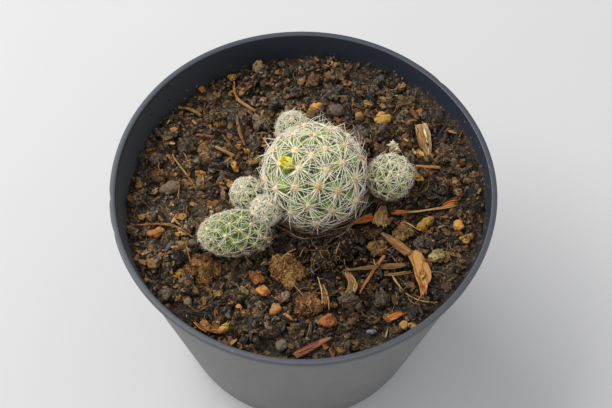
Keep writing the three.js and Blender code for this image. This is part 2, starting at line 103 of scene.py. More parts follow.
# Potting mix: the surface is lower on the left than on the right
MIX_LEVEL = 66.5
MIX_SLOPE_X = 0.06
MIX_SLOPE_Y = -0.02
MIX_BUMP = 0.55
MIX_BOTTOM = 2.7
MIX_TROUGH = 0.55  # how much lower the mix is round the pieces that lie on it
MIX_RINGS = 104
MIX_SPOKES = 440
BED_CELL = 0.3
WALL_GAP = 0.05  # between the mix or a lump and the wall
SHADE_FROM = 33.0  # from here outwards the mix is in the wall's shade
SHADE_WIDTH = 11.0
LUMP_SIZES = (2.8, 7.4)
CRUMB_SIZES = (1.0, 2.9)
FLAKE_SIZES = (1.0, 3.2)
GRAIN_SIZES = (0.4, 1.25)
HUSK_LENGTHS = (1.8, 4.4)
HUSK_CELLS = (6, 3)  # along and across
FIBRE_LENGTHS = (1.5, 7.0)
FIBRE_RINGS = 8
FIBRE_WIDTHS = (0.05, 0.2)
CRUST_SIZES = (0.3, 1.2)  # crumbs that stick to a clod

# Stems: the spiral of the tubercles, and how far the mix and the spines come
SPIRAL_POWER = 0.74
SPIRAL_REACH = 0.72
LAST_TUBERCLE = 0.75
STEM_BASE_Z = 64.5
STEM_SEAT = 1.2  # how far a stem's outline at the mix is inside its tips
SKIRT_REACH = 2.3  # depth_in_stem up to which the main stem's dry spines keep lumps away
PAINTED_SHADE_SIDE = (0.92, 0.38, -0.1)  # way that a stem's spines face which are painted browner, as painted shade away from the window


class Stem(NamedTuple):
    """One stem: its shape, the spiral of its tubercles, and the spines on each tubercle."""

    centre: tuple
    radius: float
    half: float
    axis: tuple
    tubercle: float
    spread: float
    phase: float
    first: float = 1.2
    fineness: int = 5
    radials: int = 20
    outward: int = 3
    spine: float = 2.6
    thick: float = 0.12
    pad: float = 0.36
    white: float = 0.8
    fringe: int = 0
    skirt: int = 0


# As the frame has them: radius and half length are to the tips of the tubercles
STEMS = {
    "main_stem": Stem(
        centre=(2.95, 2.3, 73.9), radius=13.0, half=13.6, axis=(-0.01, -0.34, 1.0), tubercle=2.4,
        spread=51, phase=1.936, first=1.58, fineness=6, radials=22, outward=4, spine=6.2,
        thick=0.21, pad=0.84, white=0.8, fringe=24, skirt=300,
    ),
    "right_offset": Stem(
        centre=(22.5, 3.0, 72.9), radius=5.7, half=6.0, axis=(0.45, -0.25, 1.0), tubercle=1.1,
        spread=40, phase=0.4, radials=14, outward=2, spine=3.1, thick=0.165, pad=0.5, white=0.75,
        fringe=6, skirt=30,
    ),
    "back_offset": Stem(
        centre=(-3.1, 16.9, 74.0), radius=4.0, half=4.3, axis=(-0.15, 0.3, 1.0), tubercle=0.8,
        spread=30, phase=1.1, radials=15, outward=3, spine=2.7, thick=0.18, pad=0.46, white=1.0,
    ),
    "left_front_offset": Stem(
        centre=(-9.3, -7.9, 73.3), radius=3.6, half=3.8, axis=(-0.6, -0.5, 1.0), tubercle=0.8,
        spread=27, phase=2.3, radials=20, outward=4, spine=2.5, thick=0.175, pad=0.46, white=1.1,
    ),
    "left_back_offset": Stem(
        centre=(-14.2, -1.8, 70.6), radius=4.2, half=4.6, axis=(-0.5, -0.1, 1.0), tubercle=0.8,
        spread=30, phase=0.2, radials=17, outward=3, spine=2.6, thick=0.175, pad=0.46, white=1.05,
    ),
    "low_left_offset": Stem(
        centre=(-16.2, -12.9, 70.3), radius=5.8, half=10.1, axis=(-1.0, -0.28, 0.3), tubercle=1.1,
        spread=74, phase=3.1, radials=11, outward=1, spine=2.9, thick=0.122, pad=0.44, white=0.8,
        fringe=4,
    ),
}
BUD_AT = (-3.9, -0.3, 84.1)
BUD_CLEAR = 1.4  # radius round the bud that spines leave free
BUD_DEPTH = 2.5  # how far under the bud's middle that still holds
BUD_FOOT = 1.75  # how far under the bud's middle its petals start
# Whorls of the bud from the outside in: petals, length, width, lean in radians, and way out
WHORLS = [
    (7, 3.2, 1.8, -0.08, 1.3),
    (6, 3.9, 1.6, 0.02, 0.95),
    (5, 4.3, 1.3, 0.1, 0.6),
    (4, 4.5, 0.9, 0.1, 0.25),
]
DRIED_PETALS = 19
HAIR_ROOTS = 90

# Stage, in metres and degrees
CAMERA_PLACE = (0.0, -0.1539, 0.3267)
CAMERA_PITCH = 59.69  # down from level
CAMERA_YAW = 0.33
CAMERA_ROLL = 1.33
SENSOR_WIDTH = 36.0
WINDOW_PLACE = (-0.48, 0.26, 0.76)
WINDOW_AIM = (0.0, 0.0, 0.07)
WINDOW_SIZE = (0.9, 0.5)
WINDOW_COLOUR = (1.0, 0.985, 0.96)
ROOM_COLOUR = (0.97, 0.98, 1.0)
FLOOR_REACH = 3.0
FLOOR_CELLS = 24


def colour_shares(shares):
    """Colours of loose bits, each with the share of bits that have it."""
    return [(linear(code), share) for code, share in shares.items()]


# Colours of the loose mix
CRUMB_COLOURS = colour_shares(
    {"3b342d": 0.30, "504942": 0.24, "685b47": 0.18, "494843": 0.10, "775a3b": 0.08, "262320": 0.10}
)
GRAIN_COLOURS = colour_shares(
    {"3a3129": 0.30, "5a4e42": 0.24, "745a3b": 0.13, "8a6a3e": 0.05, "4c4a44": 0.11, "24221f": 0.13}
)
FLAKE_COLOURS = colour_shares(
    {"7a5a34": 0.30, "8c6c3e": 0.12, "644a32": 0.40, "988258": 0.04, "84552c": 0.14}
)
HUSK_COLOURS = colour_shares({"1d1e20": 0.62, "2c2d2f": 0.26, "4a4e54": 0.12})
FIBRE_COLOURS = colour_shares({"785b39": 0.42, "96764b": 0.24, "4f3a27": 0.34})

# Colour of each piece that lies on the mix
STONE_COLOURS = {
    "tan_stone_back": "b9893c", "dark_stone_back": "5a4a3c", "tan_stone_back_right": "b5883f",
    "small_tan_stone": "8d6a42", "oval_stone_left": "6c5c48", "orange_chunk_left": "a46a30",
    "tan_stone_right": "b4823c", "olive_stone_front": "a8823f", "grey_stone_front": "5f5a4c",
    "orange_stone_front": "8e5222", "orange_stone_left": "b77b35", "grey_stone_left": "6a5c48",
    "ochre_stone_front": "a0753e",
}
CLOD_COLOURS = {
    "clod_left": "74512f", "clod_front": "7e5a34", "clod_front_right": "7a5636",
    "clod_nut": "7c5c38", "clod_back_left": "60503c", "clod_dark_front": "3a332a",
    "clod_dark_middle": "2e2820", "clod_small_left": "544737", "clod_back": "6f6354",
    "clod_grey_left": "5a5347", "clod_upper_left": "4c453c", "clod_brown_left": "644a34",
    "clod_right": "4d4235", "clod_grey_right": "4a4640", "bark_curl": "7a5f38",
}
CHIP_COLOURS = {
    "tan_chip": "ab7c3d", "brown_chip": "8a6034", "olive_chip": "947644", "orange_wedge": "b06a2a",
    "upright_chip": "9a7443", "reddish_chip": "834c33", "orange_chip_front": "ae672a",
    "striped_husk": "937843", "curved_flake": "a06a34",
}
TWIG_COLOURS = {
    "fibrous_twig": "74502d", "orange_stick": "905a2c", "thin_root_right": "a08654",
    "twig_right": "a8854e", "orange_stick_right": "bd7b2e", "twig_back_left": "8e6c3c",
    "bent_twig": "a4783e", "reddish_twig": "8c6232", "pale_stick": "a8803f", "red_stick": "8a4c2a",
    "root_upper_left": "a27c40", "rootlet_left": "9a7040",
}
# Patches of painted shade on the mix, where shadows fall in its hollows: place, radius and how much
# darker; below zero, lighter instead
PAINTED_SHADE_PATCHES = [
    ((10.5, -16.5), 8.5, 0.9),
    ((26.5, -9.0), 8.0, 0.75),
    ((20.0, -25.0), 8.0, 0.62),
    ((2.0, -20.0), 6.5, 0.75),
    ((-2.0, -15.0), 4.5, 0.55),
    ((-16.5, -24.5), 3.5, 0.5),
    ((11.5, -31.5), 6.5, 0.6),
    ((34.0, -0.5), 6.0, 0.5),
    ((-9.0, -18.5), 5.0, 0.5),
    ((24.0, -17.0), 6.0, 0.5),
    ((-5.0, -31.5), 4.5, 0.4),
    ((-36.0, -25.0), 6.0, -1.2),
    ((12.0, 26.0), 5.0, 0.35),
    ((-39.0, -11.0), 8.0, -1.5),
    ((-39.0, 16.0), 8.0, -0.5),
    ((-10.0, -38.0), 9.0, -0.6),
]
# Stones of crumbly clay, which are rougher
CRUMBLY = ("orange_stone_left", "ochre_stone_front", "orange_stone_front", "orange_chunk_left")
RIDGES = {"bark_curl": (24.6, -12.4)}  # middle of the curved ridges of a piece
# Patches of another colour on a piece: place, radius and colour
PATCHES = {
    "tan_stone_back": [((5.2, 28.6), 1.3, "6b5138")],
    "upright_chip": [((31.0, 21.0), 1.6, "a28058")],
    # The nearly black patch on the tan chip lies in its pit and paints the pit's shade
    "tan_chip": [((30.6, -22.7), 0.5, "20150d"), ((31.2, -27.4), 1.2, "b0662a")],
    "twig_right": [((25.2, -4.8), 1.6, "a3662f"), ((38.4, -3.2), 2.4, "8a5a2e")],
    "clod_back": [((-13.6, 23.4), 2.0, "86755f")],
    "striped_husk": [((11.8, -23.8), 0.9, "a5604a")],
    "curved_flake": [((-18.4, -37.0), 1.6, "c09438")],
    "clod_front": [((-1.6, -24.8), 2.2, "a98552")],
    "fibrous_twig": [((11.5, -21.3), 4.5, "5f5140")],
    "orange_stick": [((17.6, -19.6), 1.6, "7d4a26")],
}
# Outlines of chips and twigs, as half widths at shares of the length, and how much they are
# arched across, bent sideways, turned in degrees and lengthened
CHIP_SHAPES = {
    "tan_chip": [
        (0, 1.3), (0.08, 1.8), (0.3, 2.0), (0.55, 2.15), (0.68, 1.95), (0.78, 1.4), (0.85, 0.75),
        (0.92, 0.9), (1, 0.55),
    ],
    "olive_chip": [(0, 0.7), (0.15, 0.9), (0.5, 1.5), (0.8, 2.0), (1, 2.2)],
    "brown_chip": [(0, 0.45), (0.3, 0.8), (0.7, 1.3), (1, 1.2)],
    "striped_husk": [(0, 0.7), (0.3, 0.9), (0.7, 1.15), (0.9, 1.0), (1, 0.6)],
    "orange_wedge": [(0, 0.3), (0.5, 0.9), (1, 1.3)],
    "fibrous_twig": [(0, 0.2), (0.4, 0.35), (0.7, 0.75), (1, 0.55)],
    "twig_right": [
        (0, 0.9), (0.08, 0.8), (0.2, 0.22), (0.75, 0.2), (0.85, 0.5), (0.95, 0.45), (1, 0.25),
    ],
    "orange_stick": [(0, 0.4), (0.08, 0.55), (0.25, 0.32), (0.6, 0.24), (1, 0.16)],
    "thin_root_right": [(0, 0.2), (1, 0.16)],
    "rootlet_left": [(0, 0.25), (0.7, 0.3), (1, 0.4)],
    "root_upper_left": [(0, 0.26), (1, 0.18)],
    "reddish_twig": [(0, 0.25), (0.5, 0.4), (1, 0.3)],
    "bent_twig": [(0, 0.22), (0.35, 0.3), (0.5, 0.5), (1, 0.45)],
}
CHIP_CURLS = {"striped_husk": 0.9, "olive_chip": 0.5, "tan_chip": 0.35, "upright_chip": -0.3}
CHIP_BENDS = {
    "striped_husk": -0.16, "tan_chip": -0.035, "rootlet_left": 0.02, "root_upper_left": 0.025,
    "thin_root_right": 0.035, "orange_stick": 0.012, "reddish_twig": 0.03,
}
CHIP_TURNS = {"olive_chip": -38, "striped_husk": -26, "tan_chip": -9}
CHIP_LENGTHS = {"brown_chip": 1.2, "orange_wedge": 1.35, "striped_husk": 1.3, "tan_chip": 1.1}
CHIP_EDGES = {"upright_chip": (0.05, "ead9b0")}  # place across from which another colour starts
DENTS = {"tan_chip": ((30.6, -22.7), 0.6, 1.1)}  # place, radius and depth of a pit in a piece
# Smaller lumps: place, size, turn in degrees, colour, and how crumbly each is
EXTRA_LUMPS = [
    ((7.8, 33.5), (5.2, 4.6, 3.6), 0, "413e3a", 1.0),
    ((-2.4, 34.5), (3.5, 3.2, 2.6), 0, "464039", 1.0),
    ((15.6, 20.3), (4.6, 4.2, 2.2), 10, "4b4844", 0.5),
    ((-18.4, 9.7), (1.9, 2.9, 1.6), 20, "a8793a", 0.8),
    ((-12.7, 11.3), (4.0, 2.7, 2.2), 15, "786039", 0.9),
    ((-27.6, 7.5), (2.7, 2.5, 1.8), 0, "a87437", 1.2),
    ((-30.7, -21.9), (2.8, 2.0, 1.2), 25, "b08438", 0.7),
    ((17.4, 29.9), (2.9, 1.8, 1.6), -10, "8a7040", 0.6),
    ((30.5, 5.7), (2.6, 1.9, 1.4), -15, "bd8b40", 0.9),
    ((42.1, 10.6), (2.9, 2.2, 1.6), 20, "7a5a34", 1.5),
    ((40.0, 3.4), (2.4, 3.2, 1.8), 0, "6e5433", 1.5),
    ((40.6, 0.4), (2.1, 2.8, 1.5), 15, "665036", 1.5),
    ((31.5, -8.7), (4.0, 2.3, 1.7), 40, "94702f", 1.5),
    ((34.5, -17.8), (4.1, 3.2, 1.9), 10, "85774f", 1.2),
    ((42.4, -12.9), (3.2, 2.2, 1.6), 0, "8c6838", 1.4),
    ((27.6, -37.4), (2.1, 1.8, 1.4), 0, "9f7b46", 0.7),
    ((-28.7, 35.3), (2.8, 1.4, 1.2), -40, "845a35", 0.9),
    ((-14.0, 44.4), (2.0, 1.8, 1.4), 0, "80402a", 0.8),
    ((-20.5, 40.0), (2.0, 1.9, 1.4), 0, "96703a", 0.6),
    ((-17.6, 16.1), (1.7, 1.5, 1.2), 0, "a5763e", 0.6),
    ((-15.4, 14.8), (1.6, 1.5, 1.2), 0, "a5763e", 0.6),
    ((-3.9, -28.9), (2.1, 2.9, 2.0), 5, "85755a", 0.3),
    ((-11.4, -23.4), (3.9, 3.2, 1.3), -20, "84502f", 0.8),
    ((-14.0, -27.5), (3.4, 1.5, 1.2), -50, "857550", 0.5),
    ((-12.4, -26.6), (3.2, 1.3, 1.1), -50, "7d6a48", 0.5),
    ((17.4, -38.9), (2.4, 1.1, 0.8), 0, "6d7482", 0.3),
    ((-34.4, -28.4), (2.6, 3.1, 1.8), 0, "5f5645", 0.9),
    ((12.3, -31.2), (5.0, 4.4, 3.0), 20, "4b4133", 1.1),
    ((20.3, -30.2), (4.6, 4.2, 2.8), 0, "453e34", 1.1),
    ((-24.4, -8.6), (4.4, 4.0, 3.0), 0, "4d4336", 1.1),
    ((-31.5, 16.6), (5.2, 4.4, 2.8), 30, "4b4238", 1.1),
    ((-7.8, 30.2), (4.4, 4.0, 3.0), 0, "4a423a", 1.0),
    ((2.4, 38.6), (4.4, 3.6, 2.4), 0, "5a4634", 1.1),
    ((28.0, 29.6), (4.6, 4.0, 2.8), 0, "57462f", 1.1),
]
# Bundles of fibre: route, number of fibres, half width at both ends, thickness, colour, and lift
BUNDLES = [
    (
        ((10.8, -21.9), (18.0, -21.3), (24.0, -20.9), (27.6, -20.2)),
        15, (0.12, 0.75), 0.1, "80602f", 0.35,
    ),
    (((20.2, -23.2), (24.0, -23.2), (28.2, -21.8)), 9, (0.5, 0.35), 0.11, "9a7440", 0.3),
    (((5.0, -25.4), (6.2, -29.0), (6.6, -33.2)), 12, (0.9, 0.8), 0.1, "8f6d44", 0.5),
    (((4.2, -24.0), (5.2, -27.5), (5.4, -32.0)), 2, (0.2, 0.2), 0.17, "b0925e", 1.0),
    (((7.6, 22.4), (10.5, 23.2), (13.4, 23.2)), 3, (0.15, 0.2), 0.11, "97743f", 0.8),
    (((40.0, 26.2), (38.0, 22.4), (35.6, 18.2)), 4, (0.2, 0.45), 0.15, "3a3b40", 0.5),
    (((21.5, -37.1), (21.0, -39.2), (20.5, -40.8)), 4, (0.15, 0.25), 0.13, "9a8556", 0.4),
    (((36.0, -2.9), (38.0, -2.5), (40.4, -2.1)), 10, (0.45, 0.7), 0.12, "9c5c2b", 0.35),
    (((22.9, -4.9), (25.0, -5.0), (27.4, -5.1)), 9, (0.7, 0.3), 0.13, "a8662b", 0.4),
    (((30.6, 15.6), (30.8, 13.6), (31.2, 11.6)), 6, (0.55, 0.9), 0.11, "b1742f", 0.3),
    (((28.4, -31.6), (29.8, -29.4), (31.4, -27.6)), 2, (0.15, 0.15), 0.11, "93673a", 0.6),
    (((27.6, -28.6), (30.0, -29.6), (32.2, -31.0)), 2, (0.15, 0.15), 0.1, "8a6a40", 0.6),
    (((-22.4, 20.6), (-20.6, 18.0), (-19.2, 15.6)), 3, (0.2, 0.2), 0.1, "8f6f40", 0.3),
    (((-26.5, -35.6), (-24.4, -37.6), (-22.0, -38.8)), 8, (0.5, 0.6), 0.11, "9c6431", 0.5),
    (((-20.6, -38.6), (-18.6, -37.6), (-17.4, -35.4)), 8, (0.5, 0.5), 0.12, "a77c36", 0.7),
    (((-27.9, -5.8), (-25.0, -8.6), (-22.8, -11.4)), 3, (0.2, 0.2), 0.12, "8c4e2a", 0.4),
    (((-33.6, -34.0), (-28.0, -32.9), (-22.6, -34.0)), 5, (0.25, 0.4), 0.13, "3c3e43", 0.4),
    (((-6.6, -38.8), (-5.4, -40.6), (-3.4, -42.8)), 5, (0.3, 0.4), 0.11, "7a3f27", 0.3),
    (((2.6, -35.4), (2.4, -38.0), (1.8, -40.6)), 6, (0.3, 0.5), 0.12, "5d5145", 0.5),
]


# Settings that the sidebar shows, and what all colours among them have in common

COLOUR = {"subtype": "COLOR", "size": 3, "min": 0.0, "max": 1.0}


class CactusPotSettings(bpy.types.PropertyGroup):
    """Finish of the pot."""

    colour: FloatVectorProperty(
        name="Plastic", description="Colour of the clean plastic", default=linear("2a313b"), **COLOUR
    )
    dust_colour: FloatVectorProperty(
        name="Dust", description="Colour of the dust film on the outside", default=linear("9a9894"), **COLOUR
    )
    dust: FloatProperty(
        name="Dustiness", description="Share of the outside that the dust film hides",
        subtype="FACTOR", min=0.0, max=1.0, default=0.5,
    )
    specks: IntProperty(
        name="Specks", description="Grains that stick to the inside of the wall",
        min=0, max=400, default=240,
    )


class CactusMixSettings(bpy.types.PropertyGroup):
    """Amounts and colours of the potting mix."""

    dark: FloatVectorProperty(
        name="Dark Mix", description="Colour of the wet, fine mix", default=linear("1f1d1c"), **COLOUR
    )
    light: FloatVectorProperty(
        name="Light Mix", description="Colour of the drier mix", default=linear("4b433a"), **COLOUR
    )
    lumps: IntProperty(name="Lumps", description="Loose lumps of 3 to 7 mm", min=0, default=200)
    crumbs: IntProperty(name="Crumbs", description="Crumbs of 1 to 3 mm", min=0, default=1250)
    grains: IntProperty(name="Grains", description="Grains under 1.2 mm", min=0, default=4000)
    flakes: IntProperty(name="Flakes", description="Thin flakes of bark and coir", min=0, default=1250)
    husks: IntProperty(name="Husks", description="Burnt rice husks", min=0, default=150)
    fibres: IntProperty(name="Fibres", description="Loose coir fibres", min=0, default=420)


class CactusStemSettings(bpy.types.PropertyGroup):
    """Colours of the stems and what grows on them."""

    tip: FloatVectorProperty(
        name="Tubercle Tips", description="Green of the tubercles' tips", default=linear("86a022"), **COLOUR
    )
    # The valleys' green is darker than the tips' as painted shade between the tubercles
    valley_green_with_painted_shade: FloatVectorProperty(
        name="Valleys", description="Green between the tubercles", default=linear("3c5214"), **COLOUR
    )
    old: FloatVectorProperty(
        name="Old Skin", description="Corky skin near the soil", default=linear("7d6a45"), **COLOUR
    )
    wool: FloatVectorProperty(
        name="Wool", description="Wool of the areoles", default=linear("e8d3a6"), **COLOUR
    )
    wool_centre: FloatVectorProperty(
        name="Wool Centre", description="Tint in the middle of the wool", default=linear("d2964a"), **COLOUR
    )
    spine: FloatVectorProperty(
        name="Spines", description="Colour of a grown spine", default=linear("efe8d4"), **COLOUR
    )
    spine_foot: FloatVectorProperty(
        name="Spine Feet",
        description="Colour of a spine where it leaves the wool",
        default=linear("dcc08e"),
        **COLOUR,
    )
    dead_spine: FloatVectorProperty(
        name="Dead Spines",
        description="Colour of the dead spines at the foot of a stem",
        default=linear("6b5236"),
        **COLOUR,
    )


class CactusStageSettings(bpy.types.PropertyGroup):
    """Floor, light and camera."""

    floor: FloatVectorProperty(
        name="Floor", description="Colour of the floor", default=linear("c2c2c3"), **COLOUR
    )
    window: FloatProperty(
        name="Window Light", description="Power of the soft light from the upper left",
        subtype="POWER", min=0.0, default=8.6,
    )
    room: FloatProperty(
        name="Room Light", description="Strength of the light from all round",
        min=0.0, default=0.77,
    )
    lens: FloatProperty(
        name="Lens", description="Focal length on a 36 mm wide sensor",
        subtype="DISTANCE_CAMERA", min=1.0, default=67.647,
    )


# Smooth random values in space

NOISE_CELLS = 32
NOISE_TABLE = np.random.default_rng(7).uniform(-1, 1, (NOISE_CELLS,) * 3)


def soft_noise(points, size, seed):
    """Smooth random values from -1 to 1, with bumps about as wide as size."""
    place = np.asarray(points) / size + 17.31 * seed
    cell = np.floor(place).astype(int)
    part = place - cell
    part = part * part * (3 - 2 * part)
    total = 0
    for corner in np.ndindex(2, 2, 2):
        share = np.prod(np.where(corner, part, 1 - part), axis=-1)
        index = (cell + corner) % NOISE_CELLS
        total = total + share * NOISE_TABLE[index[..., 0], index[..., 1], index[..., 2]]
    return total


def rough_noise(points, size, octaves, seed=0):
    """Soft noise with ever finer noise on it."""
    return sum(soft_noise(points, size / 2**k, seed + k) / 2**k for k in range(octaves))


def blocky_noise(points, size, seed=0):
    """Rough noise folded at its middle, which leaves blocks with grooves between them."""
    return np.abs(rough_noise(points, size, 2, seed)) * 1.7 - 0.5


def clamped(values):
    """Values that are kept from 0 to 1."""
    return np.clip(values, 0, 1)


def stacked(*parts):
    """Points, or other rows, from their parts."""
    return np.stack(parts, axis=-1)


def seeded(seed):
    """A source of random draws that are the same each time."""
    return np.random.default_rng(seed)


def unit(vectors):
    return vectors / np.linalg.norm(vectors, axis=-1, keepdims=True)


def random_turns(rng, count):
    """Rotation matrices spread evenly over all turns."""
    w, x, y, z = unit(rng.normal(size=(count, 4))).T
    rows = [
        [1 - 2 * (y * y + z * z), 2 * (x * y - z * w), 2 * (x * z + y * w)],
        [2 * (x * y + z * w), 1 - 2 * (x * x + z * z), 2 * (y * z - x * w)],
        [2 * (x * z - y * w), 2 * (y * z + x * w), 1 - 2 * (x * x + y * y)],
    ]
    return np.moveaxis(np.array(rows), -1, 0)


def lying_turns(rng, count, lean):
    """Rotation matrices of things that lie flat: any turn about the upright, and a small lean."""
    heading = rng.uniform(0, TAU, count)
    pitch, roll = rng.normal(0, lean, (2, count))
    turns = np.empty((count, 3, 3))
    level = np.cos(pitch)
    turns[:, :, 0] = stacked(np.cos(heading) * level, np.sin(heading) * level, np.sin(pitch))
    across = stacked(-np.sin(heading), np.cos(heading), np.sin(roll))
    across -= turns[:, :, 0] * (across * turns[:, :, 0]).sum(-1, keepdims=True)
    turns[:, :, 1] = unit(across)
    turns[:, :, 2] = np.cross(turns[:, :, 0], turns[:, :, 1])
    return turns


# Meshes


def new_object(name, data):
    """A new object in the scene."""
    thing = bpy.data.objects.new(name, data)
    bpy.context.scene.collection.objects.link(thing)
    return thing


def new_mesh(name, shape):
    """A mesh from a bmesh, which is freed."""
    mesh = bpy.data.meshes.new(name)
    shape.to_mesh(mesh)
    shape.free()
    return mesh


def make_object(name, points, faces, material, smooth, values):
    """A piece of the part, made from points in millimetres, with named values on its points."""
    mesh = bpy.data.meshes.new(name)
    corners = []
    for group in faces if isinstance(faces, list) else [faces]:
        corners.extend(np.asarray(group).tolist())
    mesh.from_pydata((points.reshape(-1, 3) * MM).tolist(), [], corners)
    for key, numbers in values.items():
        write_values(mesh, key, numbers)
    mesh.polygons.foreach_set("use_smooth", [smooth] * len(mesh.polygons))
    mesh.materials.append(material)
    mesh.update()
    piece = new_object(name, mesh)
    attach(piece, "root")
    return piece


def write_values(mesh, key, numbers):
    """Keeps one number or one colour for each point of a mesh."""
    numbers = np.asarray(numbers, np.float32)
    if numbers.ndim == 1:
        mesh.attributes.new(key, "FLOAT", "POINT").data.foreach_set("value", numbers)
        return
    colours = np.ones((len(numbers), 4), np.float32)
    colours[:, :3] = numbers
    mesh.attributes.new(key, "FLOAT_COLOR", "POINT").data.foreach_set("color", colours.ravel())


def ball(fineness):
    """Points and triangles of a ball of radius 1."""
    shape = bmesh.new()
    bmesh.ops.create_icosphere(shape, subdivisions=fineness, radius=1.0)
    points = np.array([v.co for v in shape.verts])
    faces = np.array([[v.index for v in f.verts] for f in shape.faces])
    shape.free()
    return points, faces


def repeated(faces, copies, points_each):
    """The faces of several copies of a template whose points follow each other."""
    offsets = np.arange(copies) * points_each
    return (faces[None] + offsets[:, None, None]).reshape(-1, faces.shape[1])


def mesh_points(mesh):
    points = np.empty(len(mesh.vertices) * 3)
    mesh.vertices.foreach_get("co", points)
    return points.reshape(-1, 3) / MM


def tubes(paths, radii, sides):
    """Closed tubes along many paths at once. paths is tubes x rings x 3, radii is tubes x rings."""
    count, rings, _ = paths.shape
    along = unit(np.gradient(paths, axis=1))
    helper = np.where(np.abs(along[..., 2:]) < 0.9, (0.0, 0.0, 1.0), (1.0, 0.0, 0.0))
    side = unit(np.cross(along, helper))
    other = np.cross(along, side)
    angles = np.arange(sides) * TAU / sides
    outline = np.cos(angles)[:, None] * side[:, :, None] + np.sin(angles)[:, None] * other[:, :, None]
    points = paths[:, :, None] + radii[:, :, None, None] * outline
    quads = []
    for ring in range(rings - 1):
        for k in range(sides):
            low = ring * sides
            following = (k + 1) % sides
            quads.append([low + k, low + following, low + sides + following, low + sides + k])
    last = (rings - 1) * sides
    caps = np.array([list(range(sides))[::-1], [last + k for k in range(sides)]])
    each = rings * sides
    faces = [repeated(np.array(quads), count, each), repeated(caps, count, each)]
    return points.reshape(-1, 3), faces


def tumbled(rng, template, sizes, planes, cut, roughness, turns, octaves=2):
    """Grains made from balls: cut by random planes, roughened, stretched and turned."""
    directions, _ = template
    count = len(sizes)
    normals = unit(rng.normal(size=(count, planes, 3)))
    reach = rng.uniform(*cut, size=(count, planes, 1))
    facing = np.maximum(normals @ directions.T, 0.001)
    radius = np.minimum(1.0, (reach / facing).min(axis=1))
    shift = rng.uniform(0, 60, size=(count, 1, 3))
    radius = radius * (1 + roughness * rough_noise(directions + shift, 0.8, octaves))
    points = directions * radius[..., None] * sizes[:, None] / 2
    return points @ turns.transpose(0, 2, 1)


def drawn_colours(rng, count, palette, jitter):
    """One colour for each bit, drawn by share from a palette, a little lighter or darker."""
    colours = np.array([colour for colour, _ in palette])
    shares = np.array([share for _, share in palette])
    picked = colours[rng.choice(len(palette), count, p=shares / shares.sum())]
    return clamped(picked * np.exp(rng.normal(0, jitter, (count, 1))))


def make_bits(name, shapes, template, colours, material, smooth):
    """Copies of a template as one piece. Each copy has its own points and its own colour."""
    points, faces = template
    each = len(points)
    tints = {"tint": np.repeat(colours, each, axis=0)}
    make_object(name, shapes, repeated(faces, len(shapes), each), material, smooth, tints)


# Shaders


class Value:
    """A shader socket. Arithmetic on it adds Math nodes, so 1 - mask works as it is written."""

    def __init__(self, shade, socket):
        self.shade = shade
        self.socket = socket

    def math(self, operation, *operands):
        sockets = dict(enumerate(operands))
        return self.shade.add("ShaderNodeMath", {"operation": operation}, sockets)["Value"]

    def __add__(self, other):
        return self.math("ADD", self, other)

    def __radd__(self, other):
        return self.math("ADD", other, self)

    def __sub__(self, other):
        return self.math("SUBTRACT", self, other)

    def __rsub__(self, other):
        return self.math("SUBTRACT", other, self)

    def __mul__(self, other):
        return self.math("MULTIPLY", self, other)

    def between(self, low, high):
        """0 at low and 1 at high, with soft ends."""
        sockets = {"Value": self, "From Min": low, "From Max": high}
        settings = {"interpolation_type": "SMOOTHSTEP"}
        return self.shade.add("ShaderNodeMapRange", settings, sockets)["Result"]


class Made:
    """A shader node whose outputs are read by name or number."""

    def __init__(self, shade, node):
        self.shade = shade
        self.node = node

    def __getitem__(self, name):
        return Value(self.shade, self.node.outputs[name])


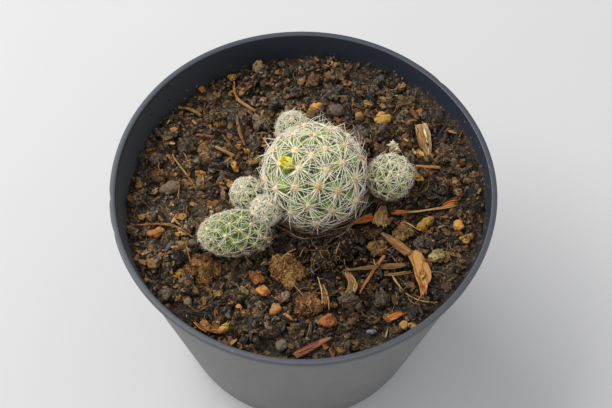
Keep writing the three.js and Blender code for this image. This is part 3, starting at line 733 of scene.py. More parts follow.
class Shade:
    """One material's nodes. Sizes of patterns are in millimetres."""

    def __init__(self, name):
        self.material = bpy.data.materials.new(name)
        self.material.use_nodes = True
        self.tree = self.material.node_tree
        self.tree.nodes.clear()
        self.here = self.add("ShaderNodeTexCoord")["Object"]

    def add(self, kind, settings=None, sockets=None):
        """Any node: its settings are set first, then its sockets get values or links."""
        node = self.tree.nodes.new(kind)
        for name, value in (settings or {}).items():
            setattr(node, name, value)
        for name, value in (sockets or {}).items():
            if isinstance(value, Value):
                self.tree.links.new(value.socket, node.inputs[name])
            else:
                node.inputs[name].default_value = value
        return Made(self, node)

    def noise(self, size, detail, roughness=0.55, at=None):
        """Cloudy noise with clouds about as wide as size."""
        sockets = {
            "Vector": at or self.here,
            "Scale": 1 / (size * MM),
            "Detail": detail,
            "Roughness": roughness,
        }
        return self.add("ShaderNodeTexNoise", None, sockets)["Fac"]

    def cells(self, size):
        """Voronoi cells about as wide as size."""
        return self.add("ShaderNodeTexVoronoi", None, {"Vector": self.here, "Scale": 1 / (size * MM)})

    def value(self, key):
        return self.add("ShaderNodeAttribute", {"attribute_name": key})["Fac"]

    def colour(self, key):
        return self.add("ShaderNodeAttribute", {"attribute_name": key})["Color"]

    def pulled(self, vector, scale):
        """A vector with each part multiplied by its own scale."""
        sockets = {0: vector, 1: scale}
        return self.add("ShaderNodeVectorMath", {"operation": "MULTIPLY"}, sockets)["Vector"]

    def stretched(self, key, scale):
        """A vector kept on the points, with each part multiplied by its own scale."""
        kept = self.add("ShaderNodeAttribute", {"attribute_name": key})["Vector"]
        return self.pulled(kept, scale)

    def speckled(self, base, size):
        """A colour with tan and nearly black specks on it."""
        colours = self.cells(size)["Color"]
        pick = self.add("ShaderNodeSeparateColor", None, {"Color": colours})
        base = self.blend(pick["Red"].between(0.84, 0.9) * 0.4, base, "8f6c3f")
        base = self.blend(pick["Green"].between(0.93, 0.97) * 0.4, base, "a88a5a")
        return self.blend(pick["Blue"].between(0.22, 0.14) * 0.7, base, "1b1815")

    def blend(self, share, first, second):
        """first where share is 0 and second where it is 1, as colours."""
        sockets = {0: share, 6: opaque(first), 7: opaque(second)}
        return self.add("ShaderNodeMix", {"data_type": "RGBA"}, sockets)[2]

    def scaled(self, colour, factor):
        """A colour made lighter or darker by a value."""
        sockets = {0: colour, "Scale": factor}
        return self.add("ShaderNodeVectorMath", {"operation": "SCALE"}, sockets)["Vector"]

    def bump(self, height, depth, strength):
        """Fine relief of a surface, as deep as depth."""
        sockets = {"Height": height, "Distance": depth * MM, "Strength": strength}
        return self.add("ShaderNodeBump", None, sockets)["Normal"]

    def finish(self, sockets):
        """Joins the principled shader to the output, and returns the material."""
        surface = self.add("ShaderNodeBsdfPrincipled", None, sockets)["BSDF"]
        self.add("ShaderNodeOutputMaterial", None, {"Surface": surface})
        return self.material


def opaque(colour):
    """What a colour socket takes, from another socket, a colour's code or its three parts."""
    if isinstance(colour, Value):
        return colour
    return (*(linear(colour) if isinstance(colour, str) else colour), 1.0)


def pot_plastic(settings):
    """Thin moulded plastic: satin inside, and outside a dust film with faint upright bands. The film's
    amount from the points also holds painted light on the wall's left and painted shade on the rim.
    """
    shade = Shade("pot_plastic")
    clouds = shade.noise(9.0, 4.0, 0.6)
    fine = shade.noise(0.5, 3.0, 0.65)
    bands = shade.noise(2.4, 3.0, 0.6, shade.pulled(shade.here, (1.0, 1.0, 0.06)))
    specks = shade.cells(1.9)["Distance"].between(0.16, 0.08)
    sparse = shade.noise(6.0, 1.0).between(0.5, 0.66)
    # How much dust film each point has: real dust, with painted light on the outer wall's left, painted
    # shade on the rim's left and back, and a lighter inner wall on the left
    outside = shade.value("outside")
    film = outside * settings.dust * (clouds.between(0.2, 0.8) * 0.22 + 0.78)
    film = film + outside * (bands - 0.5) * 0.16
    smudges = shade.noise(5.5, 3.0, 0.55, shade.pulled(shade.here, (1.0, 1.0, 0.4)))
    film = film * (1 - smudges.between(0.5, 0.72) * 0.1)
    film = film + outside * 0.16 * fine.between(0.45, 0.75) * settings.dust
    film = film + specks * sparse * 0.2
    base = shade.blend(film, settings.colour, settings.dust_colour)
    soiled = shade.value("soiled")
    crust = (soiled + (shade.noise(1.6, 4.0, 0.7) - 0.5) * 1.6).between(0.75, 1.05) * soiled
    dirt = shade.blend(shade.noise(0.45, 2.0).between(0.4, 0.6), "2b2118", "6a5238")
    base = shade.blend(crust * 0.85, base, dirt)
    peel = shade.bump(shade.noise(0.9, 2.0), 0.012, 0.6)
    return shade.finish(
        {
            "Base Color": base,
            "Roughness": 0.34 + film * 0.5 + fine * 0.1 + crust * 0.3,
            "Normal": peel,
            "Specular IOR Level": 0.5,
        }
    )


def mix_base(settings):
    """Fine dark mix, with specks of coir and bark too small to model, and painted shade from its points."""
    shade = Shade("mix_base")
    wet = shade.noise(6.0, 5.0, 0.65)
    ground = shade.blend(wet.between(0.3, 0.72), settings.dark, settings.light)
    ground = shade.speckled(ground, 0.55)
    height = shade.noise(0.8, 5.0, 0.7) + shade.cells(0.5)["Distance"] * 0.6
    return shade.finish(
        {
            # The colour is scaled by the points' tone, which holds painted shade
            "Base Color": shade.scaled(ground, shade.value("tone_and_painted_shade")),
            "Roughness": 0.95,
            "Specular IOR Level": 0.2,
            "Normal": shade.bump(height, 0.35, 1.0),
        }
    )


def bit_material(name, roughness, grain, depth, gritty=True):
    """Loose bits that each carry their own colour."""
    shade = Shade(name)
    mottle = shade.noise(grain, 4.0, 0.65)
    base = shade.scaled(shade.colour("tint"), mottle * 1.2 + 0.4)
    if gritty:
        base = shade.speckled(base, 0.42)
    return shade.finish(
        {
            "Base Color": base,
            "Roughness": roughness,
            "Normal": shade.bump(shade.noise(grain * 0.4, 4.0, 0.7), depth, 0.9),
            "Specular IOR Level": 0.18,
        }
    )


def stone_material():
    """Rough stone with darker pits and a dusty bloom."""
    shade = Shade("stone")
    mottle = shade.noise(1.6, 5.0, 0.65)
    pits = shade.noise(0.5, 3.0, 0.7)
    base = shade.scaled(shade.colour("tint"), mottle * 1.5 + 0.25)
    base = shade.blend(pits.between(0.44, 0.3) * 0.4, base, "2e2519")
    base = shade.blend(mottle.between(0.58, 0.78) * 0.3, base, "b3935c")
    height = mottle * 0.6 + pits * 0.6
    return shade.finish(
        {"Base Color": base, "Roughness": 0.88, "Normal": shade.bump(height, 0.3, 1.0)}
    )


def clod_material():
    """Clods of mix: brown aggregate with tan and black specks."""
    shade = Shade("clod")
    mottle = shade.noise(1.4, 5.0, 0.7)
    base = shade.scaled(shade.colour("tint"), mottle * 1.6 + 0.15)
    base = shade.speckled(base, 0.45)
    height = mottle + shade.cells(0.45)["Distance"] * 0.8
    return shade.finish(
        {
            "Base Color": base,
            "Roughness": 0.95,
            "Normal": shade.bump(height, 0.35, 1.0),
            "Specular IOR Level": 0.12,
        }
    )


def wood_material(name):
    """Wood, bark and root with fibres along the piece."""
    shade = Shade(name)
    along = shade.stretched("grain", (0.1, 1.0, 1.0))
    fibres = shade.noise(0.3, 4.0, 0.7, along)
    streaks = shade.noise(1.0, 3.0, 0.6, along)
    stain = shade.noise(1.5, 4.0, 0.65)
    base = shade.scaled(shade.colour("tint"), fibres * 1.1 + 0.45)
    base = shade.blend(streaks.between(0.52, 0.68) * 0.6, base, "4a3420")
    base = shade.blend(stain.between(0.36, 0.22) * 0.7, base, "33261a")
    base = shade.blend(stain.between(0.62, 0.8) * 0.35, base, "d0b07c")
    height = fibres + streaks * 0.7
    return shade.finish(
        {"Base Color": base, "Roughness": 0.78, "Normal": shade.bump(height, 0.22, 1.0)}
    )


def skin_material(settings):
    """Cactus skin: green with a waxy sheen, corky near the soil. Its green is darker between the
    tubercles and lower down a stem, as painted shade.
    """
    shade = Shade("stem_skin")
    tip = shade.value("tip")
    age = shade.value("age")
    cloud = shade.noise(3.2, 3.0)
    fine = shade.noise(0.22, 3.0, 0.6)
    # From the valleys' darker green to the tips': painted shade between the tubercles
    green = shade.blend(
        (tip + (cloud - 0.5) * 0.6).between(0.05, 0.75), settings.valley_green_with_painted_shade, settings.tip
    )
    # The green is darker from a stem's shoulders down and near the mix: painted shade
    green = shade.scaled(green, (fine * 0.4 + 0.8) * (1.08 - age.between(0.25, 0.55) * 0.42))
    cork = (age + (cloud - 0.5) * 0.4).between(0.72, 0.98)
    base = shade.blend(cork, green, settings.old)
    return shade.finish(
        {
            "Base Color": base,
            "Roughness": 0.42 + fine * 0.2 + cork * 0.25,
            "Normal": shade.bump(fine, 0.04, 0.6),
            "Coat Weight": 0.15,
            "Coat Roughness": 0.35,
        }
    )


def spine_material(settings):
    """Spines: tan where they leave the wool, white along their length, brown when dead. The brown near
    the mix is partly dead spines and partly painted shade; on a stem's side away from the window it
    is painted shade.
    """
    shade = Shade("spine")
    along = shade.value("along")
    dead = shade.value("dead")
    living = shade.blend(along.between(0.0, 0.16), settings.spine_foot, settings.spine)
    stain = shade.noise(1.1, 2.0)
    share = (dead + (stain - 0.5) * 0.35).between(0.25, 0.95)
    base = shade.blend(share, living, settings.dead_spine)
    return shade.finish({"Base Color": base, "Roughness": 0.45, "Specular IOR Level": 0.4})


def wool_material(settings):
    """Wool of the areoles, warmer in its middle."""
    shade = Shade("wool")
    middle = shade.value("middle")
    fluff = shade.noise(0.16, 4.0, 0.7)
    base = shade.blend(
        (middle + (fluff - 0.5) * 0.6).between(0.25, 0.9),
        settings.wool,
        settings.wool_centre,
    )
    return shade.finish(
        {
            "Base Color": shade.scaled(base, fluff * 0.4 + 0.78),
            "Roughness": 0.95,
            "Normal": shade.bump(fluff, 0.12, 1.0),
            "Sheen Weight": 0.3,
        }
    )


def petal_material(name, low, high, spot, roughness):
    """Petals that change colour from their foot to their tip, with fine veins."""
    shade = Shade(name)
    along = shade.value("along")
    veins = shade.noise(0.3, 3.0, 0.6)
    base = shade.blend((along + (veins - 0.5) * 0.3).between(0.1, 0.85), low, high)
    base = shade.blend(shade.value("spot"), base, spot)
    return shade.finish(
        {
            "Base Color": shade.scaled(base, veins * 0.4 + 0.8),
            "Roughness": roughness,
            "Normal": shade.bump(veins, 0.05, 0.7),
        }
    )


# Pot


def inner_radius(z):
    """Radius of the inside of the pot's wall at a height."""
    outside = FOOT_RADIUS + (RIM_RADIUS - BEAD_WIDTH + WALL - FOOT_RADIUS) * z / POT_HEIGHT
    return outside - WALL


def rounded_edge(z, angle, dust):
    """A point of the rim's outer edge, which is rounded about a height."""
    radius = RIM_RADIUS - RIM_EDGE + RIM_EDGE * math.cos(angle)
    return radius, z + RIM_EDGE * math.sin(angle), dust


def pot_profile():
    """Closed outline of the wall and base, as radius, height and how much dust it holds."""
    foot_inner = FOOT_RADIUS - FOOT_WIDTH
    lip = RIM_RADIUS - BEAD_WIDTH
    outline = [(0.01, BASE_LIFT, 1), (foot_inner - BASE_LIFT, BASE_LIFT, 1), (foot_inner, 0.0, 1)]
    for angle in np.linspace(0, math.pi / 2, 5):
        radius = FOOT_RADIUS - BEVEL + BEVEL * math.sin(angle)
        outline.append((radius, BEVEL - BEVEL * math.cos(angle), 1))
    for z in np.linspace(3, POT_HEIGHT - BEAD_DROP, WALL_ROWS):
        outline.append((inner_radius(z) + WALL, z, 1))
    outline.append((RIM_RADIUS - RIM_UNDERCUT, POT_HEIGHT - BEAD_DROP, 0.6))
    for angle in np.linspace(-math.pi / 2, 0, 4):
        outline.append(rounded_edge(POT_HEIGHT - BEAD_DROP + RIM_EDGE, angle, 0.45))
    for angle in np.linspace(0, math.pi / 2, 5):
        outline.append(rounded_edge(POT_HEIGHT - RIM_EDGE, angle, 0.3))
    outline.append((RIM_RADIUS - RIM_CROWN[0], POT_HEIGHT - RIM_CROWN[1], 0.0))
    for angle in np.linspace(math.pi / 2, math.pi, 5):
        radius = lip + RIM_EDGE + RIM_EDGE * math.cos(angle)
        z = POT_HEIGHT - LIP_DROP - RIM_EDGE + RIM_EDGE * math.sin(angle)
        outline.append((radius, z, 0.05))
    for z in np.linspace(POT_HEIGHT - 1.5, WALL + 0.6, WALL_ROWS):
        outline.append((inner_radius(z), z, 0))
    outline.append((inner_radius(WALL) - 0.6, WALL, 0))
    outline.append((foot_inner, WALL, 0))
    outline.append((foot_inner - BASE_LIFT, BASE_LIFT + WALL, 0))
    outline.append((0.01, BASE_LIFT + WALL, 0))
    return np.array(outline)


def drain_cutter():
    """Upright rods that cut the drain holes."""
    cutter = bmesh.new()
    places = [(0.0, 0.0)]
    for i in range(DRAIN_HOLES):
        angle = TAU * (i + 0.5) / DRAIN_HOLES
        places.append((DRAIN_CIRCLE * math.cos(angle), DRAIN_CIRCLE * math.sin(angle)))
    for x, y in places:
        bmesh.ops.create_cone(
            cutter,
            cap_ends=True,
            segments=40,
            radius1=DRAIN_RADIUS * MM,
            radius2=DRAIN_RADIUS * MM,
            depth=6 * WALL * MM,
            matrix=Matrix.Translation(Vector((x, y, BASE_LIFT)) * MM),
        )
    return new_object("drain_cutter", new_mesh("drain_cutter", cutter))


def applied(piece):
    """Bakes a piece's modifiers into its mesh."""
    graph = bpy.context.evaluated_depsgraph_get()
    graph.update()
    mesh = bpy.data.meshes.new_from_object(piece.evaluated_get(graph))
    old = piece.data
    piece.modifiers.clear()
    piece.data = mesh
    bpy.data.meshes.remove(old)
    return piece


def build_pot(settings):
    """The thin wall with its rolled rim and drain holes, and what dust and dirt it holds. The dust's
    amount also holds painted light on the outer wall's left and painted shade on the rim.
    """
    outline = pot_profile()
    turns = np.linspace(0, TAU, POT_SEGMENTS, endpoint=False)
    radius, height, outside = outline.T
    foot = FOOT_RADIUS - FOOT_WIDTH
    lift = (height / POT_HEIGHT) ** 3
    wide, narrow, inwards = WALL_SWAY
    sway = wide * np.sin(3 * turns + 0.8) + narrow * np.sin(5 * turns + 2.1) + inwards
    ring = radius[None] + (sway[:, None] * lift[None]) * (radius > FOOT_RADIUS)
    level = np.repeat(height[None], POT_SEGMENTS, axis=0)
    for angle, depth in RIM_NICKS:
        away = np.abs((turns - math.radians(angle) + math.pi) % TAU - math.pi) * RIM_RADIUS
        dent = depth * np.exp(-((away / 1.1) ** 2))
        ring = ring - dent[:, None] * (height > POT_HEIGHT - BEAD_DROP) * (radius > RIM_RADIUS - 1)
    points = stacked(ring * np.cos(turns)[:, None], ring * np.sin(turns)[:, None], level)
    steps = len(outline)
    a = np.arange(POT_SEGMENTS)[:, None] * steps + np.arange(steps - 1)[None]
    b = (np.arange(POT_SEGMENTS)[:, None] + 1) % POT_SEGMENTS * steps + np.arange(steps - 1)[None]
    faces = stacked(a, b, b + 1, a + 1).reshape(-1, 4)
    first = np.arange(POT_SEGMENTS) * steps
    ends = [first[::-1].tolist(), (first + steps - 1).tolist()]
    inside = (outside == 0) & (radius > foot) & (height > BASE_LIFT + WALL)
    # The inner wall is made lighter on its left side
    inner_left_lighter = 0.3 * clamped(-np.cos(turns - 0.45))[:, None] * inside[None]
    rim = (height > POT_HEIGHT - 1.2) & (outside < 0.5)
    # Less dust film on the rim's top towards the left and back, which paints shade there
    shadowed = np.clip(0.75 + 0.65 * np.sin(turns), 0, 0.9)[:, None] * rim[None]
    # More dust film on the outer wall towards the window at the left, which paints light there
    lit_left_share = clamped(0.2 - np.cos(turns + 0.2))[:, None]
    painted_light_left = 1 + 0.25 * lit_left_share * (outside == 1)[None]
    edge = inner_radius(MIX_LEVEL)
    shore = mix_height(edge * np.cos(turns), edge * np.sin(turns))[:, None]
    soiled = clamped(1 - (level - shore) / 5.0) * inside[None]
    values = {
        "outside": (outside[None] * painted_light_left * (1 - shadowed) + inner_left_lighter).ravel(),
        "soiled": soiled.ravel(),
    }
    material = pot_plastic(settings)
    wall = make_object("pot_shell", points, [faces, ends], material, True, values)
    rods = drain_cutter()
    cut = wall.modifiers.new("drains", "BOOLEAN")
    cut.operation = "DIFFERENCE"
    cut.solver = "EXACT"
    cut.object = rods
    applied(wall)
    bpy.data.objects.remove(rods)
    wall.data.polygons.foreach_set("use_smooth", [True] * len(wall.data.polygons))
    wall.data.set_sharp_from_angle(angle=math.radians(38))
    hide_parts("pot")


def build_specks(settings):
    """Grains that stick to the inside of the wall, most of them near the mix."""
    rng = seeded(71)
    count = settings.specks
    template = ball(2)
    angle = rng.uniform(0, TAU, count)
    edge = inner_radius(MIX_LEVEL)
    shore = mix_height(edge * np.cos(angle), edge * np.sin(angle))
    near = rng.random(count) < 0.6
    lift = np.where(near, rng.exponential(0.9, count), rng.exponential(3.2, count))
    z = np.minimum(shore - 0.3 + lift, POT_HEIGHT - 1.5)
    radius = inner_radius(z)
    across = rng.uniform(0.35, 0.8, (count, 1)) * (1 + 1.1 * np.exp(-lift / 0.8))[:, None]
    sizes = across * rng.uniform(0.7, 1.2, (count, 3))
    points = tumbled(rng, template, sizes, 6, (0.6, 0.9), 0.1, random_turns(rng, count))
    centres = stacked(radius * np.cos(angle), radius * np.sin(angle), z)
    # The specks take the mix's tone at the wall, with its painted shade
    tone_and_painted_shade = mix_tone_and_painted_shade(edge * np.cos(angle), edge * np.sin(angle))
    colours = drawn_colours(rng, count, GRAIN_COLOURS, 0.2) * tone_and_painted_shade[:, None]
    material = bit_material("speck", 0.9, 0.4, 0.03)
    points = points + centres[:, None]
    make_bits("wall_specks", points, template, colours, material, True)


# Potting mix


def mix_height(x, y):
    """Height of the mix's surface, as the frame has it."""
    long_waves = np.sin(0.31 * x + 1.3) * np.cos(0.27 * y + 0.6)
    short_waves = np.sin(0.71 * x + 0.53 * y) * np.cos(0.62 * y - 0.35 * x + 2.1)
    slope = MIX_SLOPE_X * x + MIX_SLOPE_Y * y
    return MIX_LEVEL + slope + MIX_BUMP * (0.6 * long_waves + 0.8 * short_waves)


def mix_under(points):
    """Height of the mix's surface under points."""
    return mix_height(points[..., 0], points[..., 1])


def crumbled_height(x, y):
    """The mix's surface with its small hills, rounded crumbs and sharp pits."""
    place = stacked(x, y, np.zeros_like(x))
    hills = 0.5 * rough_noise(place, 7.0, 2, 3)
    crumbs = 1.3 * np.abs(rough_noise(place, 3.4, 2, 9)) + 0.6 * np.abs(soft_noise(place, 1.3, 21))
    return mix_height(x, y) - 1.1 + hills + crumbs + 0.1 * soft_noise(place, 0.6, 33)


def mix_tone_and_painted_shade(x, y):
    """How light the mix's colour is, with painted shade: darker where the wall's shadow falls at the upper
    left, towards the front right away from the window, and in the shaded hollows, of which a few are
    lighter instead, with random patches of tone over it all."""
    # Painted shadow of the wall near it at the upper left
    near_wall = clamped((np.hypot(x, y) - SHADE_FROM) / SHADE_WIDTH)
    upper_left = clamped(0.5 + (0.5 * y - 0.86 * x) / 70)
    patches = 0.5 + 0.5 * soft_noise(stacked(x, y, 0 * x), 9.0, 41)
    # Painted shade towards the front right, away from the window
    front_right = clamped(0.5 + (0.6 * x - 0.8 * y) / 80)
    light = (1 - 0.36 * near_wall * upper_left - 0.2 * patches) * (1.34 - 0.64 * front_right)
    # Painted shade in the hollows; the patches below zero are lighter instead
    for place, radius, darker in PAINTED_SHADE_PATCHES:
        away = np.hypot(x - place[0], y - place[1]) / radius
        light = light * (1 - darker * np.exp(-(away**2)))
    return light


class Bed:
    """Heights of the mix on a grid, which rise as bits settle, and where larger pieces lie."""

    def __init__(self):
        reach = RIM_RADIUS
        self.start = -reach
        self.axis = np.arange(-reach, reach + BED_CELL, BED_CELL)
        x, y = np.meshgrid(self.axis, self.axis, indexing="ij")
        self.x, self.y = x, y
        self.heights = crumbled_height(x, y)
        self.taken = np.zeros(x.shape, bool)
        self.by_stem = np.zeros(x.shape, bool)
        self.laid = []

    def cell(self, values):
        found = np.round((np.asarray(values) - self.start) / BED_CELL).astype(int)
        return np.clip(found, 0, len(self.axis) - 1)

    def at(self, x, y):
        return self.heights[self.cell(x), self.cell(y)]

    def is_taken(self, x, y):
        return self.taken[self.cell(x), self.cell(y)]

    def lay(self, points):
        """Marks where a piece lies on the mix, from the points of its fine mesh."""
        near = points[points[:, 2] < mix_under(points) + 4.0]
        i, j = self.cell(near[:, 0]), self.cell(near[:, 1])
        np.maximum.at(self.heights, (i, j), near[:, 2])
        self.taken[i, j] = True
        self.laid.append(np.unique(stacked(i, j), axis=0))

    def root_stem(self, stem):
        """Marks the cells that a stem fills at the surface."""
        level = mix_height(self.x, self.y) + 0.6
        depth = depth_in_stem(stem, stacked(self.x, self.y, level), STEM_SEAT)
        self.taken |= depth < 1
        if stem.skirt:
            self.by_stem |= depth < SKIRT_REACH

    def distance(self, x, y):
        """How far places are from the nearest piece that lies on the mix."""
        cells = np.concatenate(self.laid)
        tree = KDTree(len(cells))
        for number, (i, j) in enumerate(cells):
            tree.insert((self.axis[i], self.axis[j], 0.0), number)
        tree.balance()
        gaps = [tree.find((a, b, 0.0))[2] for a, b in zip(x.ravel(), y.ravel())]
        return np.array(gaps).reshape(x.shape)

    def settle(self, x, y, radius, height):
        """Rests a lump on the ground near its middle, raises the ground, gives its centre's z."""
        i0, i1 = self.cell([x - radius, x + radius])
        j0, j1 = self.cell([y - radius, y + radius])
        window = (slice(i0, i1 + 1), slice(j0, j1 + 1))
        off = ((self.x[window] - x) ** 2 + (self.y[window] - y) ** 2) / radius**2
        inside = off < 1
        ground = self.heights[window][inside].mean()
        middle = ground + height * 0.22
        dome = middle + 0.45 * height * np.sqrt(clamped(1 - off))
        raised = np.maximum(self.heights[window], dome)
        self.heights[window] = np.where(inside, raised, self.heights[window])
        return middle


def mix_places(rng, count, margin):
    """Random places on the mix, in millimetres."""
    reach = inner_radius(MIX_LEVEL) - margin
    radius = reach * np.sqrt(rng.uniform(0, 1, count))
    angle = rng.uniform(0, TAU, count)
    return radius * np.cos(angle), radius * np.sin(angle)


def build_mix_surface(settings, bed):
    """The mix as one closed body with a crumbled top, lower round the pieces that lie on it."""
    spokes = np.arange(MIX_SPOKES) * TAU / MIX_SPOKES
    across = np.cos(spokes), np.sin(spokes)
    shore = inner_radius(MIX_LEVEL)
    edge_z = crumbled_height(shore * across[0], shore * across[1])
    edge = inner_radius(edge_z) + 0.15
    share = np.arange(1, MIX_RINGS + 1)[:, None] / MIX_RINGS
    x, y = share * edge * across[0], share * edge * across[1]
    trough = clamped(1.6 - bed.distance(x, y)) * MIX_TROUGH
    top = stacked(x, y, crumbled_height(x, y) - trough).reshape(-1, 3)
    points = [np.array([[0, 0, crumbled_height(np.zeros(1), np.zeros(1))[0]]]), top]
    for share in (0.04, 0.4, 0.75, 1.0):
        z = edge_z + (MIX_BOTTOM - edge_z) * share
        radius = inner_radius(z) - WALL_GAP
        points.append(stacked(radius * across[0], radius * across[1], z))
    points.append(np.array([[0, 0, MIX_BOTTOM]]))
    points = np.concatenate(points)
    rings = MIX_RINGS + 4
    k = np.arange(MIX_SPOKES)
    following = (k + 1) % MIX_SPOKES
    quads = []
    for ring in range(rings - 1):
        low = 1 + ring * MIX_SPOKES
        high = low + MIX_SPOKES
        quads.append(stacked(low + k, high + k, high + following, low + following))
    last = len(points) - 1
    final = 1 + (rings - 1) * MIX_SPOKES
    hub = stacked(np.zeros_like(k), 1 + k, 1 + following)
    underside = stacked(final + k, np.full_like(k, last), final + following)
    faces = [np.concatenate(quads), hub, underside]
    # The tone of each point holds painted shade as well as random patches
    values = {"tone_and_painted_shade": mix_tone_and_painted_shade(points[:, 0], points[:, 1])}
    ground = make_object("mix_ground", points, faces, mix_base(settings), True, values)
    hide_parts("soil")


def drawn_sizes(rng, sizes, count):
    """Sizes between two, drawn so that the small ones are the most."""
    return np.exp(rng.uniform(*np.log(sizes), count))


def scattered(rng, bed, count, margin, keep=0.0):
    """Places on the mix that are clear of the larger pieces, but for a share that may lie on them."""
    x, y = mix_places(rng, 3 * count + 50, margin)
    free = ~bed.is_taken(x, y) | (rng.uniform(0, 1, len(x)) < keep)
    return x[free][:count], y[free][:count]


def kept_in_pot(points):
    """Pushes points that would be in the wall back to it."""
    reach = np.hypot(points[..., 0], points[..., 1])
    points[..., :2] *= np.minimum(1, (inner_radius(points[..., 2]) - WALL_GAP) / reach)[..., None]
    return points


def build_lumps(name, bed, seed, count, sizes, material, fineness, planes, roughness, margin):
    """Bits that settle on each other, largest first. Lumps, which have the finer mesh, keep off the
    dry spines round a stem."""
    rng = seeded(seed)
    template = ball(fineness)
    x, y = scattered(rng, bed, count, margin)
    count = len(x)
    across = np.sort(drawn_sizes(rng, sizes, count))[::-1]
    clear = bed.distance(x, y) > 0.42 * across
    if fineness > 2:
        clear &= ~bed.by_stem[bed.cell(x), bed.cell(y)]
    x, y, across = x[clear], y[clear], across[clear]
    count = len(x)
    size = across[:, None] * rng.uniform((0.85, 0.6, 0.45), (1.3, 1.0, 0.8), (count, 3))
    z = np.array([bed.settle(x[i], y[i], across[i] / 2, size[i].mean()) for i in range(count)])
    turns = lying_turns(rng, count, 0.5)
    points = tumbled(rng, template, size, planes, (0.55, 0.95), roughness, turns, 3)
    points = kept_in_pot(points + stacked(x, y, z)[:, None])
    # Colours darkened by the mix's painted shade where each lump lies
    colours = drawn_colours(rng, count, CRUMB_COLOURS, 0.25) * mix_tone_and_painted_shade(x, y)[:, None]
    make_bits(name, points, template, colours, material, fineness > 2)


def build_grains(name, bed, seed, count, sizes, palette, material, flatness, lean, keep, margin):
    """Small bits that lie where they fell, in one mesh."""
    rng = seeded(seed)
    template = ball(1)
    x, y = scattered(rng, bed, count, margin, keep)
    count = len(x)
    across = drawn_sizes(rng, sizes, count)
    narrow = rng.uniform(0.25, 0.9, count)
    shape = stacked(np.full(count, 1.25), narrow, rng.uniform(*flatness, count) * narrow)
    turns = lying_turns(rng, count, lean)
    points = tumbled(rng, template, across[:, None] * shape, 5, (0.6, 1.0), 0.25, turns)
    z = bed.at(x, y) + across * shape[:, 2] * 0.2
    points = points + stacked(x, y, z)[:, None]
    # Colours darkened by the mix's painted shade where each grain lies
    colours = drawn_colours(rng, count, palette, 0.3) * mix_tone_and_painted_shade(x, y)[:, None]
    make_bits(name, points, template, colours, material, False)


def husk_template():
    """A thin boat-shaped shell, 2 long and about 0.8 wide, as points and quads."""
    cells_along, cells_across = HUSK_CELLS
    u, v = np.meshgrid(*(np.linspace(-1, 1, cells + 1) for cells in HUSK_CELLS), indexing="ij")
    width = 0.36 * (1 - 0.94 * np.abs(u) ** 2.2)
    arch = 0.2 * (1 - v**2) * (1 - u**2) + 0.12 * (1 - u**2)
    top = stacked(u, v * width, arch).reshape(-1, 3)
    bottom = top - (0, 0, 0.06)
    columns = cells_across + 1
    count = len(top)
    i, j = np.meshgrid(np.arange(cells_along), np.arange(cells_across), indexing="ij")
    corner = (i * columns + j).ravel()
    upper = stacked(corner, corner + columns, corner + columns + 1, corner + 1)
    lower = upper[:, ::-1] + count
    rim = [k * columns for k in range(cells_along + 1)]
    rim += [cells_along * columns + k for k in range(1, columns)]
    rim += [k * columns + cells_across for k in range(cells_along - 1, -1, -1)]
    rim += [k for k in range(cells_across - 1, 0, -1)]
    rim = np.array(rim)
    following = np.roll(rim, -1)
    sides = stacked(following, rim, rim + count, following + count)
    return np.concatenate([top, bottom]), np.concatenate([upper, lower, sides])


def build_husks(settings, bed):
    """Burnt rice husks, whole and broken, lying at all angles and half sunk."""
    rng = seeded(31)
    template = husk_template()
    x, y = scattered(rng, bed, settings.husks, 1.5)
    count = len(x)
    length = rng.uniform(*HUSK_LENGTHS, count)
    shape = stacked(length / 2, length / 2 * rng.uniform(0.4, 0.9, count), length / 2)
    turns = lying_turns(rng, count, 0.45)
    placed = (template[0][None] * shape[:, None]) @ turns.transpose(0, 2, 1)
    z = bed.at(x, y) + rng.uniform(-0.25, 0.2, count)
    placed = placed + stacked(x, y, z)[:, None]
    material = bit_material("burnt_husk", 0.62, 0.5, 0.08, False)
    colours = drawn_colours(rng, count, HUSK_COLOURS, 0.25)
    make_bits("burnt_husks", placed, template, colours, material, True)


def build_fibres(settings, bed):
    """Loose coir fibres that lie over the mix."""
    rng = seeded(37)
    x, y = scattered(rng, bed, settings.fibres, 4.0, 0.1)
    count = len(x)
    rings = FIBRE_RINGS
    length = rng.uniform(*FIBRE_LENGTHS, count)
    bend = rng.normal(0, 0.7, count)[:, None]
    heading = rng.uniform(0, TAU, count)[:, None] + np.linspace(-1, 1, rings) * bend
    step = stacked(np.cos(heading), np.sin(heading)) * (length / rings)[:, None, None]
    middle = stacked(x, y)[:, None]
    flat = middle + np.cumsum(step, axis=1) - step.sum(1, keepdims=True) / 2
    reach = np.linalg.norm(flat, axis=-1, keepdims=True)
    flat = flat * np.minimum(1, (inner_radius(MIX_LEVEL) - 0.6) / reach)
    ground = bed.at(flat[..., 0], flat[..., 1])
    smooth = (np.roll(ground, 1, 1) + ground + np.roll(ground, -1, 1)) / 3
    smooth[:, 0] = ground[:, 0]
    smooth[:, -1] = ground[:, -1]
    thick = drawn_sizes(rng, FIBRE_WIDTHS, count)
    z = smooth + thick[:, None] * 0.6 + rng.uniform(-0.1, 0.2, (count, 1))
    paths = np.concatenate([flat, z[..., None]], axis=-1)
    taper = 0.35 + 0.65 * np.sin(np.linspace(0.25, math.pi - 0.25, rings))
    points, faces = tubes(paths, thick[:, None] * taper, 4)
    material = bit_material("coir_fibre", 0.85, 0.6, 0.03, False)
    tints = np.repeat(drawn_colours(rng, count, FIBRE_COLOURS, 0.25), rings * 4, axis=0)
    make_object("coir_fibres", points, faces, material, True, {"tint": tints})


# Stones, clods, chips and twigs


